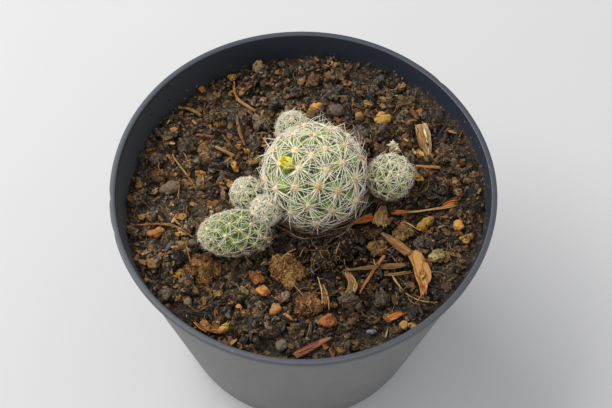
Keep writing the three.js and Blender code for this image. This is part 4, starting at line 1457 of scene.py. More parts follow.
def refined(node, name, cell, rounding):
    """A new piece from a node's shape, remeshed finely enough to take small detail, with its
    points and the directions that they face."""
    piece = new_object(name, NODES[node].data.copy())
    piece.data.materials.clear()
    remesh = piece.modifiers.new("remesh", "REMESH")
    remesh.mode = "VOXEL"
    remesh.voxel_size = cell * MM
    smooth = piece.modifiers.new("smooth", "SMOOTH")
    smooth.factor = 0.5
    smooth.iterations = rounding
    mesh = applied(piece).data
    normals = np.empty(len(mesh.vertices) * 3)
    mesh.vertices.foreach_get("normal", normals)
    return piece, mesh_points(mesh), normals.reshape(-1, 3)


def distance_from(place, points):
    """Level distance of points from a place."""
    return np.hypot(points[:, 0] - place[0], points[:, 1] - place[1])


def main_axes(points):
    """Centre and axes of a piece: the longest first, towards the front right, and then across it."""
    centre = points.mean(0)
    _, _, axes = np.linalg.svd(points - centre, full_matrices=False)
    if axes[0] @ (1.0, -1.0, 0.0) < 0:
        axes[0] = -axes[0]
    if axes[1] @ (1.0, 0.5, 0.0) < 0:
        axes[1] = -axes[1]
    axes[2] = np.cross(axes[0], axes[1])
    return centre, axes


def finish_piece(piece, node, points, colour, material, grain=None, across=None, shade=None):
    """Writes a piece's points and colours, and lets it stand for its node. A shade, where given,
    darkens the colour point by point as painted shade.
    """
    mesh = piece.data
    mesh.vertices.foreach_set("co", (points * MM).ravel())
    tint = np.tile(linear(colour), (len(points), 1))
    if shade is not None:
        tint = tint * shade[:, None]
    if node in CHIP_EDGES:
        start, other = CHIP_EDGES[node]
        ragged = across + 0.25 * soft_noise(points, 0.7, 77)
        share = clamped((ragged - start) / 0.1)[:, None]
        tint = tint * (1 - share) + np.array(linear(other)) * share
    if node == "striped_husk":
        tint = tint * (0.8 + 0.45 * np.sin(7.5 * across))[:, None]
    for place, radius, other in PATCHES.get(node, []):
        share = clamped(1.6 - distance_from(place, points) / radius)[:, None]
        tint = tint * (1 - share) + np.array(linear(other)) * share
    write_values(mesh, "tint", clamped(tint))
    if grain is not None:
        write_values(mesh, "grain", grain * MM)
    mesh.polygons.foreach_set("use_smooth", [True] * len(mesh.polygons))
    mesh.materials.append(material)
    mesh.update()
    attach(piece, "root")
    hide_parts(node)


def build_strands(name, paths, thick, rng, palette):
    """Thin fibres along given paths, in one mesh, each with its own colour from a palette."""
    rings = paths.shape[1]
    taper = 0.4 + 0.6 * np.sin(np.linspace(0.3, math.pi - 0.3, rings))
    points, faces = tubes(paths, thick[:, None] * taper, 4)
    colours = drawn_colours(rng, len(paths), palette, 0.25)
    material = bit_material(name, 0.82, 0.6, 0.03, False)
    tints = np.repeat(colours, rings * 4, axis=0)
    make_object(name, points, faces, material, True, {"tint": tints})


def clod_fibres(rng, points, outward, count):
    """Paths of short fibres that leave a clod at a low angle."""
    upper = np.flatnonzero(outward[:, 2] > 0.1)
    picked = upper[rng.integers(0, len(upper), count)]
    heading = unit(np.cross(outward[picked], rng.normal(size=(count, 3))))
    heading = unit(heading + outward[picked] * rng.uniform(0.0, 0.5, (count, 1)))
    along = np.linspace(-0.4, 1, 6)[None, :, None]
    bend = rng.normal(0, 0.3, (count, 1, 3)) * along**2
    length = rng.uniform(1.0, 3.2, (count, 1, 1))
    return points[picked][:, None] + (heading[:, None] * along + bend) * length


def shades(colour):
    """A colour with a darker and a lighter one, as shares of a palette."""
    middle = linear(colour)
    dark = tuple(0.5 * c for c in middle)
    light = tuple(min(1, 1.3 * c) for c in middle)
    return [(middle, 0.45), (dark, 0.3), (light, 0.25)]


def draped_strands(rng, points, outward, grain, axes, count, overhang):
    """Paths of fibres that lie along the upper side of a piece and stand out at its ends."""
    top = outward[:, 2] > 0.05
    tops, out, place = points[top], outward[top], grain[top]
    low, high = np.quantile(place[:, 0], (0.01, 0.99))
    span = high - low
    start = rng.uniform(low - overhang, low + 0.55 * span, count)
    reach = start + rng.uniform(0.3, 0.9, count) * span
    reach = np.minimum(reach, high + overhang)
    along = start[:, None] + (reach - start)[:, None] * np.linspace(0, 1, 9)
    side = rng.uniform(-0.85, 0.85, (count, 1))
    side = side + rng.normal(0, 0.12, (count, 1)) * (along - along.mean(1, keepdims=True))
    held = np.clip(along, low, high)
    near = np.abs(place[:, 0][None, None] - held[..., None]) < 0.06 * span + 0.2
    half = np.where(near, np.abs(place[:, 1])[None, None], 0).max(-1)
    away = (place[:, 0] - held[..., None]) ** 2 + (place[:, 1] - (side * half)[..., None]) ** 2
    found = away.argmin(-1)
    paths = tops[found] + out[found] * 0.06
    paths = paths + (along - held)[..., None] * axes[0]
    paths[:, 1:-1] = (paths[:, :-2] + 2 * paths[:, 1:-1] + paths[:, 2:]) / 4
    return paths


def upright_turn(degrees):
    """Rotation about the upright."""
    return np.array(Matrix.Rotation(math.radians(degrees), 3, "Z"))


def shaped(grain, outline):
    """Widens or narrows a piece to an outline of half widths along it. Where it is narrowed, it is
    also made thinner. Gives the points, each one's place across, and how far it sinks."""
    span = np.ptp(grain[:, 0])
    share = (grain[:, 0] - grain[:, 0].min()) / span
    bins = 20
    index = np.minimum((share * bins).astype(int), bins - 1)
    middles = (np.arange(bins) + 0.5) / bins
    filled = [k for k in range(bins) if (index == k).any()]
    edges = np.array([[grain[index == k, 1:].min(0), grain[index == k, 1:].max(0)] for k in filled])
    along = middles[filled]
    centre = [np.interp(share, along, edges[:, :, axis].mean(1)) for axis in (0, 1)]
    spans = [np.interp(share, along, np.ptp(edges[:, :, axis], axis=1) / 2) for axis in (0, 1)]
    half = [np.maximum(span, 0.05) for span in spans]
    across = np.clip((grain[:, 1] - centre[0]) / half[0], -1.1, 1.1)
    if outline is None:
        return grain, across, np.zeros(len(grain))
    wanted = np.interp(share, [t for t, _ in outline], [w for _, w in outline])
    thinner = np.minimum(1, wanted / half[0])
    new = grain.copy()
    new[:, 1] = centre[0] + across * wanted
    new[:, 2] = centre[1] + (grain[:, 2] - centre[1]) * thinner
    return new, across, (1 - thinner) * half[1] * 0.8


def build_stones(bed):
    """Stones with worn edges, flats and pits. Those of crumbly clay are the roughest."""
    material = stone_material()
    for seed, (node, colour) in enumerate(STONE_COLOURS.items()):
        piece, points, outward = refined(node, node + "_stone", 0.22, 3)
        crumbly = 1.0 if node in CRUMBLY else 0.35
        relief = 0.75 * crumbly * blocky_noise(points, 1.9, 40 + seed)
        relief = relief + 0.3 * soft_noise(points, 2.6, 60 + seed)
        relief = relief + (0.1 + 0.1 * crumbly) * rough_noise(points, 0.6, 2, seed)
        points = points + outward * relief[:, None]
        bed.lay(points)
        finish_piece(piece, node, points, colour, material)


def build_clods(bed):
    """Clods of mix: rough blocky lumps with crumbs and fibres stuck on them."""
    material = clod_material()
    crumbs = []
    tints = []
    strands = []
    template = ball(1)
    rng = seeded(53)
    for seed, (node, colour) in enumerate(CLOD_COLOURS.items()):
        piece, points, outward = refined(node, node + "_clod", 0.24, 2)
        relief = 1.05 * blocky_noise(points, 3.2, 60 + seed) + 0.3 * rough_noise(points, 1.0, 3, seed)
        if node in RIDGES:
            relief = relief + 0.3 * np.sin(TAU * distance_from(RIDGES[node], points) / 1.15)
        low, high = node_box(node)
        # Darker where the relief is low, in the clod's crevices: painted shade
        shade = 0.45 + 0.9 * clamped((relief + 0.7) / 1.6)
        relief = relief * min(1, (high - low)[:2].mean() / 6.0)
        points = points + outward * relief[:, None]
        bed.lay(points)
        finish_piece(piece, node, points, colour, material, shade=shade)
        upper = np.flatnonzero(outward[:, 2] > -0.1)
        spots = upper[rng.integers(0, len(upper), 20 + len(points) // 22)]
        count = len(spots)
        size = drawn_sizes(rng, CRUST_SIZES, (count, 1))
        size = size * rng.uniform((0.7, 0.4, 0.3), (1.3, 0.9, 0.8), (count, 3))
        shapes = tumbled(rng, template, size, 5, (0.6, 0.95), 0.3, random_turns(rng, count))
        crumbs.append(shapes + points[spots][:, None])
        palette = colour_shares({colour: 0.6, "966a35": 0.2, "2c251e": 0.2})
        tints.append(drawn_colours(rng, count, palette, 0.3))
        strands.append(clod_fibres(rng, points, outward, 4 + len(points) // 200))
    material = bit_material("clod_crumb", 0.95, 0.5, 0.06)
    shapes, tints = np.concatenate(crumbs), np.concatenate(tints)
    make_bits("clod_crumbs", shapes, template, tints, material, False)
    paths = np.concatenate(strands)
    thick = rng.uniform(0.05, 0.13, len(paths))
    build_strands("clod_fibres", paths, thick, rng, FIBRE_COLOURS)


def build_wood(bed, colours, slot, cell, relief):
    """Chips or twigs with cracks along them and ragged fibres on them."""
    material = wood_material(slot)
    rng = seeded(len(colours))
    for seed, (node, colour) in enumerate(colours.items()):
        piece, points, outward = refined(node, node + "_wood", cell, 2)
        centre, axes = main_axes(points)
        grain, across, sink = shaped((points - centre) @ axes.T, CHIP_SHAPES.get(node))
        grain[:, 0] *= CHIP_LENGTHS.get(node, 1)
        grain[:, 1] += CHIP_BENDS.get(node, 0) * (grain[:, 0] ** 2 - (grain[:, 0] ** 2).mean())
        grain[:, 2] += CHIP_CURLS.get(node, 0) * (across**2 - 0.4)
        spin = upright_turn(CHIP_TURNS.get(node, 0))
        axes = axes @ spin.T
        outward = outward @ spin.T
        points = grain @ axes + centre
        points[:, 2] -= sink
        fibres = rough_noise(grain * (0.14, 1.0, 1.0), 0.55, 2, 80 + seed)
        cracks = -clamped(soft_noise(grain * (0.1, 1.0, 1.0), 0.8, 30 + seed) - 0.35)
        ragged = soft_noise(grain * (0.0, 1.0, 1.0), 0.5, 50 + seed)
        end = np.abs(grain[:, 0]) / np.abs(grain[:, 0]).max()
        width = np.ptp(grain[:, 1])
        depth = relief * min(1, width / 1.6)
        points = points + outward * (depth * (fibres + 2.2 * cracks))[:, None]
        points = points + axes[0] * (np.sign(grain[:, 0]) * 0.5 * ragged * end**6)[:, None]
        bends = soft_noise(points, 3.0, 90 + seed)
        points = points + np.array([0, 0, 1]) * (0.5 * relief * bends)[:, None]
        if node in DENTS:
            place, radius, sunk = DENTS[node]
            away = distance_from(place, points) / radius
            points[:, 2] -= sunk * np.exp(-(away**2)) * (outward[:, 2] > 0)
        bed.lay(points)
        finish_piece(piece, node, points, colour, material, grain, across)
        count = int(4 + 4 * width)
        paths = draped_strands(rng, points, outward, grain, axes, count, 0.25 + 0.15 * width)
        thick = rng.uniform(0.04, 0.1, count)
        build_strands(node + "_fibres", paths, thick, rng, shades(colour))


def build_extra_lumps(bed):
    """More clods and chips that lie on the mix, each at its own place."""
    rng = seeded(59)
    template = ball(4)
    count = len(EXTRA_LUMPS)
    places, sizes, degrees, colours, crumbly = zip(*EXTRA_LUMPS)
    places = np.array(places)
    sizes = np.array(sizes) * (1.12, 1.12, 1.15)
    turns = np.array([upright_turn(angle) for angle in degrees])
    shapes = tumbled(rng, template, sizes, 7, (0.62, 0.95), 0.2, turns, 3)
    blocks = blocky_noise(shapes + rng.uniform(0, 60, (count, 1, 3)), 1.7)
    shapes = shapes * (1 + 0.34 * (np.array(crumbly)[:, None] * blocks)[..., None])
    level = mix_under(places) + 0.26 * sizes[:, 2]
    points = kept_in_pot(shapes + np.concatenate([places, level[:, None]], axis=1)[:, None])
    bed.lay(points.reshape(-1, 3))
    base = np.array([linear(colour) for colour in colours])[:, None]
    # The colour is darker where the block noise is low, in the lumps' grooves: painted shade
    tints = clamped(base * (0.6 + 0.75 * clamped(blocks + 0.5))[..., None])
    faces = repeated(template[1], count, len(template[0]))
    values = {"tint": tints.reshape(-1, 3)}
    make_object("small_clods", points, faces, clod_material(), True, values)


def build_bundles(bed):
    """Frayed bundles of fibre, and thin twigs, that lie over the mix."""
    rng = seeded(67)
    rings = 12
    for number, (route, count, widths, thick, colour, lift) in enumerate(BUNDLES):
        corners = np.array(route)
        share = np.linspace(0, 1, rings)
        marks = np.linspace(0, 1, len(corners))
        line = np.stack([np.interp(share, marks, corners[:, k]) for k in (0, 1)], axis=-1)
        line[1:-1] = (line[:-2] + 2 * line[1:-1] + line[2:]) / 4
        along = unit(np.gradient(line, axis=0))
        sideways = stacked(-along[:, 1], along[:, 0])
        width = np.interp(share, (0, 1), widths)
        wander = rng.normal(0, 0.25, (count, rings)).cumsum(axis=1) * 0.25
        off = (rng.uniform(-1, 1, (count, 1)) + wander) * width
        flat = line[None] + sideways[None] * off[..., None]
        level = mix_under(flat)
        z = level + lift + rng.uniform(-0.6, 0.6, (count, 1)) * thick * 2 + 0.1 * wander
        start = rng.uniform(0, 0.25, (count, 1)) if count > 3 else np.zeros((count, 1))
        stop = rng.uniform(0.75, 1.0, (count, 1)) if count > 3 else np.ones((count, 1))
        wanted = start + (stop - start) * share
        full = np.concatenate([flat, z[..., None]], axis=-1)
        parts = [[np.interp(w, share, part) for part in strand.T] for w, strand in zip(wanted, full)]
        paths = np.array(parts).transpose(0, 2, 1)
        bed.lay(paths.reshape(-1, 3))
        radii = thick * rng.uniform(0.6, 1.2, count)
        build_strands(f"fibre_bundle_{number:02d}", paths, radii, rng, shades(colour))


def build_roots():
    """Roots in the mix, under the main stem, with fine hair roots."""
    material = wood_material("root")
    piece, points, outward = refined("roots", "taproot", 0.35, 2)
    centre, axes = main_axes(points)
    grain = (points - centre) @ axes.T
    relief = 0.14 * rough_noise(points * (1, 1, 0.4), 1.2, 3, 5)
    points = points + outward * relief[:, None]
    finish_piece(piece, "roots", points, "b0916a", material, grain)
    rng = seeded(83)
    count = HAIR_ROOTS
    rings = FIBRE_RINGS
    start = points[rng.integers(0, len(points), count)]
    heading = unit(rng.normal(size=(count, 3)) * (1, 1, 0.6))
    length = rng.uniform(3, 8, count)
    along = np.linspace(0, 1, rings)
    paths = start[:, None] + heading[:, None] * (length[:, None] * along)[..., None]
    paths = paths + 0.5 * rng.normal(size=(count, 1, 3)) * (along**2)[None, :, None]
    radii = 0.11 * (1 - 0.8 * along)[None] * np.ones((count, 1))
    tube_points, faces = tubes(paths, radii, 3)
    values = {
        "tint": np.tile(linear("c7ab7f"), (len(tube_points), 1)),
        "grain": np.tile((0.0, 0.0, 0.0), (len(tube_points), 1)),
    }
    make_object("hair_roots", tube_points, faces, material, True, values)


# Stems


def stem_turn(stem):
    """Rotation that takes the upright to the stem's axis."""
    return np.array(Vector((0, 0, 1)).rotation_difference(Vector(stem.axis)).to_matrix())


def stem_size(stem, inset=0.0):
    """Half sizes of a stem across, across and along its axis."""
    return np.array([stem.radius, stem.radius, stem.half]) - inset


def depth_in_stem(stem, points, inset):
    """Where points are: under 1 inside a stem's outline, less an inset, and over 1 outside."""
    local = (points - stem.centre) @ stem_turn(stem) / stem_size(stem, inset)
    return (local**2).sum(-1)


def tubercle_directions(stem):
    """Directions of the tubercles' tips, from the apex down, on an upright stem."""
    directions = []
    index = 0
    while True:
        polar = math.pi * SPIRAL_REACH * ((index + stem.first) / stem.spread) ** SPIRAL_POWER
        if polar > math.pi * LAST_TUBERCLE:
            return np.array(directions)
        turn = stem.phase - index * GOLDEN_ANGLE
        flat = math.sin(polar)
        directions.append((flat * math.cos(turn), flat * math.sin(turn), math.cos(polar)))
        index += 1


def angles_between(first, second):
    return np.arccos(np.clip(first @ second.T, -1, 1))


def tubercle_widths(directions):
    """Half width of each tubercle's foot, as an angle, from the distance to its neighbours."""
    apart = np.sort(angles_between(directions, directions), axis=1)
    return 0.6 * apart[:, 1:6].mean(axis=1)


def build_stem(node, stem, material):
    """One stem's skin, which stands up in a tubercle at every turn of its spiral."""
    directions, faces = ball(stem.fineness)
    tubercles = tubercle_directions(stem)
    widths = tubercle_widths(tubercles)
    share = angles_between(directions, tubercles) / widths[None]
    nearest = np.minimum(1, share.min(axis=1))
    low = 1.3 * stem.tubercle * nearest**1.35
    low = low + 0.05 * soft_noise(directions * stem.radius, 0.9, 4)
    local = directions * (stem_size(stem) - np.clip(low, 0, None)[:, None])
    points = local @ stem_turn(stem).T + stem.centre
    points[:, 2] = np.maximum(points[:, 2], min(STEM_BASE_Z, points[:, 2].max()))
    age = np.arccos(np.clip(directions[:, 2], -1, 1)) / math.pi
    soil_near = 1 - clamped((points[:, 2] - mix_under(points)) / 5)
    values = {"tip": 1 - nearest, "age": np.maximum(age, soil_near * 0.9)}
    piece = make_object(node + "_skin", points, faces, material, True, values)
    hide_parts(node)


class Areoles(NamedTuple):
    """Places and directions of a stem's areoles: outward, towards the apex, and sideways."""

    at: np.ndarray
    out: np.ndarray
    up: np.ndarray
    side: np.ndarray
    age: np.ndarray


def areoles(stem):
    directions = tubercle_directions(stem)
    turn = stem_turn(stem)
    size = stem_size(stem)
    at = (directions * size) @ turn.T + stem.centre
    out = unit(directions / size) @ turn.T
    apex = turn[:, 2]
    up = unit(apex - out * (out @ apex)[:, None])
    side = np.cross(out, up)
    age = np.arange(len(at)) / len(at)
    above = at[:, 2] > mix_under(at) + 0.2
    return Areoles(at[above], out[above], up[above], side[above], age[above])


def clear_of_others(points, own):
    """True where a point is outside every other stem."""
    clear = np.ones(len(points), bool)
    for name, stem in STEMS.items():
        if name != own:
            clear &= depth_in_stem(stem, points, stem.tubercle) > 1
    return clear


def clear_of_bud(paths):
    """True for the spines that don't cross the flower bud."""
    out = unit(np.array(BUD_AT) - STEMS["main_stem"].centre)
    away = paths - BUD_AT
    across = away - (away @ out)[..., None] * out
    near = (np.linalg.norm(across, axis=-1) < BUD_CLEAR) & ((away @ out) > -BUD_DEPTH)
    return ~near.any(-1)


def build_wool(node, stem, material):
    """Pads of wool on the areoles, with short loose hairs."""
    rng = seeded(len(node))
    spots = areoles(stem)
    keep = clear_of_others(spots.at, node)
    at, out, up, side = (a[keep] for a in (spots.at, spots.out, spots.up, spots.side))
    large = stem.pad > 0.55
    directions, faces = ball(3 if large else 2)
    count = len(at)
    pad = stem.pad * rng.uniform(0.8, 1.15, (count, 1))
    shift = rng.uniform(0, 40, (count, 1, 3))
    swell = 1 + 0.4 * rough_noise(directions[None] + shift, 0.55, 2)
    shape = directions[None] * (swell * pad)[..., None]
    points = (
        at[:, None]
        + side[:, None] * shape[..., :1] * 0.9
        + up[:, None] * (shape[..., 1:2] + 0.15 * stem.pad)
        + out[:, None] * (shape[..., 2:] * 0.75 + 0.2 * stem.pad)
    )
    lean = 0.5 + 0.5 * unit(at - stem.centre) @ unit(np.array((0.75, -0.6, -0.25)))
    warm = (0.3 + 0.45 * lean + rng.normal(0, 0.2, count)) * (1.7 - stem.white)
    warm = np.clip(warm, 0.1, 0.95)
    middle = clamped(directions[None, :, 2] * 1.2 + 0.1) * warm[:, None]
    hairs = 22 if large else 9
    rings = 4
    total = count * hairs

    def per_hair(values):
        return np.repeat(values, hairs, axis=0)

    angle = rng.uniform(0, TAU, (total, 1))
    tangent = np.cos(angle) * per_hair(up) + np.sin(angle) * per_hair(side)
    stand = rng.uniform(0.0, 1.5, (total, 1))
    heading = np.cos(stand) * tangent + np.sin(stand) * per_hair(out)
    along = np.linspace(0, 1, rings)[None, :, None]
    length = stem.pad * rng.uniform(0.7, 1.5, (total, 1, 1))
    curl = rng.normal(0, 0.5, (total, 1, 3)) * along**2
    stand_off = rng.uniform(0, 0.6, (total, 1))
    foot = per_hair(at) + tangent * 0.35 * stem.pad + per_hair(out) * stand_off * stem.pad
    paths = foot[:, None] + (heading[:, None] * along + curl) * length
    radii = np.full((total, rings), 0.036 * stem.pad) * (1 - 0.6 * along[..., 0])
    hair_points, hair_faces = tubes(paths, radii, 3)
    offset = len(directions) * count
    all_faces = [repeated(faces, count, len(directions))] + [f + offset for f in hair_faces]
    all_points = np.concatenate([points.reshape(-1, 3), hair_points])
    hair_middle = np.repeat(per_hair(warm) * 0.3, rings * 3)
    values = {"middle": np.concatenate([middle.ravel(), hair_middle])}
    make_object(node + "_wool", all_points, all_faces, material, True, values)


def skirt_paths(rng, stem, rings):
    """Arcs of dry old spines that lie round the foot of a stem, on the mix."""
    count = stem.skirt
    along = np.linspace(0, 1, rings)[None]
    middle = np.array(stem.centre)
    drop = (middle[2] - mix_height(middle[0], middle[1])) / stem.half
    foot = stem.radius * math.sqrt(max(0.1, 1 - drop * drop))
    sweep = rng.choice((-1, 1), count) * rng.uniform(0.2, 0.6, count)
    angle = rng.uniform(0, TAU, (count, 1)) + sweep[:, None] * along
    start = rng.uniform(0.0, 0.33, (count, 1)) * stem.radius
    out = start + rng.normal(0, 0.07, (count, 1)) * stem.radius * along
    x = middle[0] + (foot + out) * np.cos(angle)
    y = middle[1] + (foot + out) * np.sin(angle)
    pile = np.clip(0.38 * stem.radius - out, 0.3, None)
    height = 0.5 + pile * rng.uniform(0.1, 0.8, (count, 1)) * (1 - 0.4 * along)
    return stacked(x, y, mix_height(x, y) + height)


def build_spines(node, stem, material):
    """Stars of spines on every areole: a ring that lies over the skin, a few that stand out, and
    near the mix a fringe of old ones that hang down."""
    rng = seeded(200 + len(node))
    spots = areoles(stem)
    areole_count = len(spots.at)
    above = spots.at[:, 2] - mix_under(spots.at)
    low = 1 - clamped((above - 0.5) / 4.0)
    shaded = 1 - clamped((above - 0.5) / 8.0)
    fringe = np.round(stem.fringe * clamped(1.6 * low)).astype(int)
    each = stem.radials + stem.outward + fringe
    owner = np.repeat(np.arange(areole_count), each)
    count = len(owner)
    number = np.arange(count) - np.repeat(np.cumsum(each) - each, each)
    radial = number < stem.radials
    hanging = number >= stem.radials + stem.outward
    ring_turn = TAU * (number + rng.normal(0, 0.4, count)) / stem.radials
    angle = np.where(radial, ring_turn, rng.uniform(0, TAU, count))
    angle = angle + rng.uniform(0, TAU, areole_count)[owner]
    rise = np.where(radial, rng.normal(0.18, 0.13, count), rng.uniform(0.4, 1.1, count))
    around = np.where(rng.random(count) < 0.5, 1, -1) * rng.normal(1.8, 0.4, count)
    angle = np.where(hanging, around, angle)
    rise = np.where(hanging, rng.uniform(0.2, 0.75, count), rise)
    out, up, side = spots.out[owner], spots.up[owner], spots.side[owner]
    tangent = np.cos(angle)[:, None] * up + np.sin(angle)[:, None] * side
    heading = np.cos(rise)[:, None] * tangent + np.sin(rise)[:, None] * out
    share = np.where(radial, 1.0, np.where(hanging, 1.4, 0.72 - 0.5 * shaded[owner]))
    length = stem.spine * rng.normal(1.0, 0.2, count) * share
    length = length * (0.7 + 0.3 * clamped(spots.age[owner] * 8))
    rings, sides = (6, 4) if stem.spine > 4 else (5, 3)
    along = np.linspace(0, 1, rings)[None, :, None]
    follow = np.sin(rise) + length / (2 * stem.radius) * rng.uniform(0.3, 0.95, count)
    droop = -out * np.where(radial | hanging, follow, 0.25 * follow)[:, None]
    droop = droop + rng.normal(0, 0.09, (count, 3)) * np.where(hanging, 1.6, 1.0)[:, None]
    foot = spots.at[owner] + out * 0.12 + tangent * 0.6 * stem.pad
    bent = heading[:, None] * along + droop[:, None] * along**2
    paths = foot[:, None] + length[:, None, None] * bent
    thick = stem.thick * np.where(hanging, 0.75, 1.0)[:, None]
    radii = thick / 2 * rng.uniform(0.7, 1.2, (count, 1)) * (1 - 0.8 * along[..., 0] ** 2)
    ends = paths[:, -1]
    keep = clear_of_others(ends, node) & clear_of_others(paths[:, rings // 2], node)
    keep &= (ends[:, 2] > mix_under(ends) - 2.5) & clear_of_bud(paths)
    floor = mix_under(paths) + rng.uniform(0.3, 1.6, (count, 1))
    paths[..., 2] = np.maximum(paths[..., 2], floor)
    # Areoles near the mix give browner spines: partly old dead spines, partly painted shade
    dead = shaded[owner] * 0.8 + rng.uniform(0, 0.5, count) * np.clip(1.1 - stem.white, 0.05, 1)
    # Spines on a stem's side away from the window are painted browner, as painted shade
    dead = dead + 0.85 * clamped(out @ np.array(PAINTED_SHADE_SIDE) - 0.42)
    dead = np.where(hanging, rng.uniform(0.75, 1.3, count), dead)
    lift = paths[..., 2] - mix_under(paths)
    near_mix = 1 - clamped((lift - 0.8) / (0.3 * stem.radius))
    dead = np.maximum(dead[:, None], near_mix * rng.uniform(0.6, 1.1, (count, 1)))
    paths, radii, dead = paths[keep], radii[keep], dead[keep]
    if stem.skirt:
        laid = skirt_paths(rng, stem, rings)
        laid = laid[clear_of_others(laid[:, rings // 2], node)]
        paths = np.concatenate([paths, laid])
        radii = np.concatenate([radii, np.full((len(laid), rings), 0.36 * stem.thick)])
        withered = rng.uniform(0.5, 1.2, (len(laid), 1))
        dead = np.concatenate([dead, np.repeat(withered, rings, axis=1)])
    points, faces = tubes(paths, radii, sides)
    kept = len(paths)
    values = {
        "along": np.tile(np.repeat(np.linspace(0, 1, rings), sides), kept),
        "dead": np.repeat(dead.ravel(), sides),
    }
    make_object(node + "_spines", points, faces, material, True, values)


# Flower bud and dried flower


def petal(length, width, curl, cup, cells=6):
    """A thin pointed petal that starts at the origin and grows along +Z, as points, quads and
    how far along it each point is."""
    columns = 5
    u, v = np.meshgrid(np.linspace(0, 1, cells + 1), np.linspace(-1, 1, columns), indexing="ij")
    half = width / 2 * np.sin(math.pi * clamped(0.12 + 0.86 * u**0.8)) ** 0.7
    x = v * half
    y = curl * np.sin(u * math.pi * 0.9) + cup * v**2 * half
    z = length * u
    top = stacked(x, y, z).reshape(-1, 3)
    i, j = np.meshgrid(np.arange(cells), np.arange(columns - 1), indexing="ij")
    corner = (i * columns + j).ravel()
    quads = stacked(corner, corner + 1, corner + columns + 1, corner + columns)
    return top, quads, u.ravel()


def petal_cluster(name, node, shapes, material, thickness):
    """Joins petals into one piece and gives them thickness."""
    points = []
    faces = []
    along = []
    total = 0
    for top, quads, share in shapes:
        points.append(top)
        faces.append(quads + total)
        along.append(share)
        total += len(top)
    points = np.concatenate(points)
    low, high = node_box(node)
    away = np.linalg.norm(points - ((low + high) / 2 + (0.9, -0.9, 0.2)), axis=1)
    values = {"along": np.concatenate(along), "spot": clamped(1.3 - away / 0.55) * 0.8}
    piece = make_object(name, points, faces, material, True, values)
    solid = piece.modifiers.new("thickness", "SOLIDIFY")
    solid.thickness = thickness * MM
    solid.offset = 0.0
    applied(piece)
    piece.data.polygons.foreach_set("use_smooth", [True] * len(piece.data.polygons))
    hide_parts(node)
    return points


def turned_about(points, axis_turn, angle, lean, at, push):
    """Places a petal in a whorl: pushed out, leaned out, turned about the bud's axis."""
    c, s = math.cos(lean), math.sin(lean)
    leaned = points @ np.array([[1, 0, 0], [0, c, -s], [0, s, c]])
    leaned = leaned + (0, push, 0)
    c, s = math.cos(angle), math.sin(angle)
    spun = leaned @ np.array([[c, s, 0], [-s, c, 0], [0, 0, 1]])
    return spun @ axis_turn.T + at


def build_bud():
    """A closed bud of four overlapping whorls of petals."""
    material = petal_material("flower_bud", "c2bd38", "f4ea62", "a5482a", 0.5)
    out = Vector(BUD_AT) - Vector(STEMS["main_stem"].centre)
    turn = np.array(Vector((0, 0, 1)).rotation_difference(out).to_matrix())
    foot = np.array(BUD_AT) - np.array(out.normalized()) * BUD_FOOT
    shapes = []
    for whorl, (count, length, width, lean, push) in enumerate(WHORLS):
        for k in range(count):
            points, quads, share = petal(length, width, 0.4 - 0.13 * whorl, -0.35)
            angle = TAU * (k + 0.5 * whorl) / count
            shapes.append((turned_about(points, turn, angle, lean, foot, push), quads, share))
    petal_cluster("bud_petals", "flower_bud", shapes, material, 0.09)


def build_dried_flower(bed):
    """The crumpled remains of an old flower."""
    rng = seeded(97)
    material = petal_material("dried_flower", "9c8050", "ddd0ae", "8a7350", 0.85)
    low, high = node_box("dried_flower")
    foot = np.array([(low[0] + high[0]) / 2, (low[1] + high[1]) / 2 - 0.3, low[2] + 0.7])
    shapes = []
    for k in range(DRIED_PETALS):
        outer = k % 2
        length = rng.uniform(1.8, 2.4) + 0.5 * outer
        points, quads, share = petal(length, rng.uniform(1.1, 1.9), 0.3, 0.9, 8)
        crumple = np.stack([rough_noise(points, 0.6, 2, 7 * k + axis) for axis in range(3)], -1)
        points = points + crumple * 0.5 * share[:, None]
        lean = rng.uniform(-1.2, -0.6) if outer else rng.uniform(-0.5, 0.15)
        axis_turn = np.array(Matrix.Rotation(rng.normal(0, 0.25), 3, "X"))
        angle = TAU * k * 0.382
        shapes.append((turned_about(points, axis_turn, angle, lean, foot, 0.3), quads, share))
    bed.lay(petal_cluster("dried_petals", "dried_flower", shapes, material, 0.1))


# Stage


def build_floor(settings):
    """A pale floor that fades into the light behind it."""
    grid = bmesh.new()
    bmesh.ops.create_grid(grid, x_segments=FLOOR_CELLS, y_segments=FLOOR_CELLS, size=FLOOR_REACH)
    mesh = new_mesh("floor", grid)
    shade = Shade("floor")
    wash = shade.noise(90.0, 2.0)
    pale = shade.scaled(tuple(settings.floor), wash * 0.04 + 0.98)
    mesh.materials.append(shade.finish({"Base Color": pale, "Roughness": 0.9}))
    floor = new_object("floor", mesh)


def build_lights(settings):
    """A large window at the upper left, behind the pot, and even light from all round."""
    light = bpy.data.lights.new("window", "AREA")
    light.shape = "RECTANGLE"
    light.size, light.size_y = WINDOW_SIZE
    light.energy = settings.window
    light.color = WINDOW_COLOUR
    lamp = new_object("window", light)
    lamp.location = WINDOW_PLACE
    aim = Vector(WINDOW_AIM) - Vector(WINDOW_PLACE)
    lamp.rotation_euler = aim.to_track_quat("-Z", "Y").to_euler()
    world = bpy.data.worlds.new("room")
    world.use_nodes = True
    sky = world.node_tree.nodes["Background"]
    sky.inputs["Color"].default_value = (*ROOM_COLOUR, 1.0)
    sky.inputs["Strength"].default_value = settings.room
    bpy.context.scene.world = world


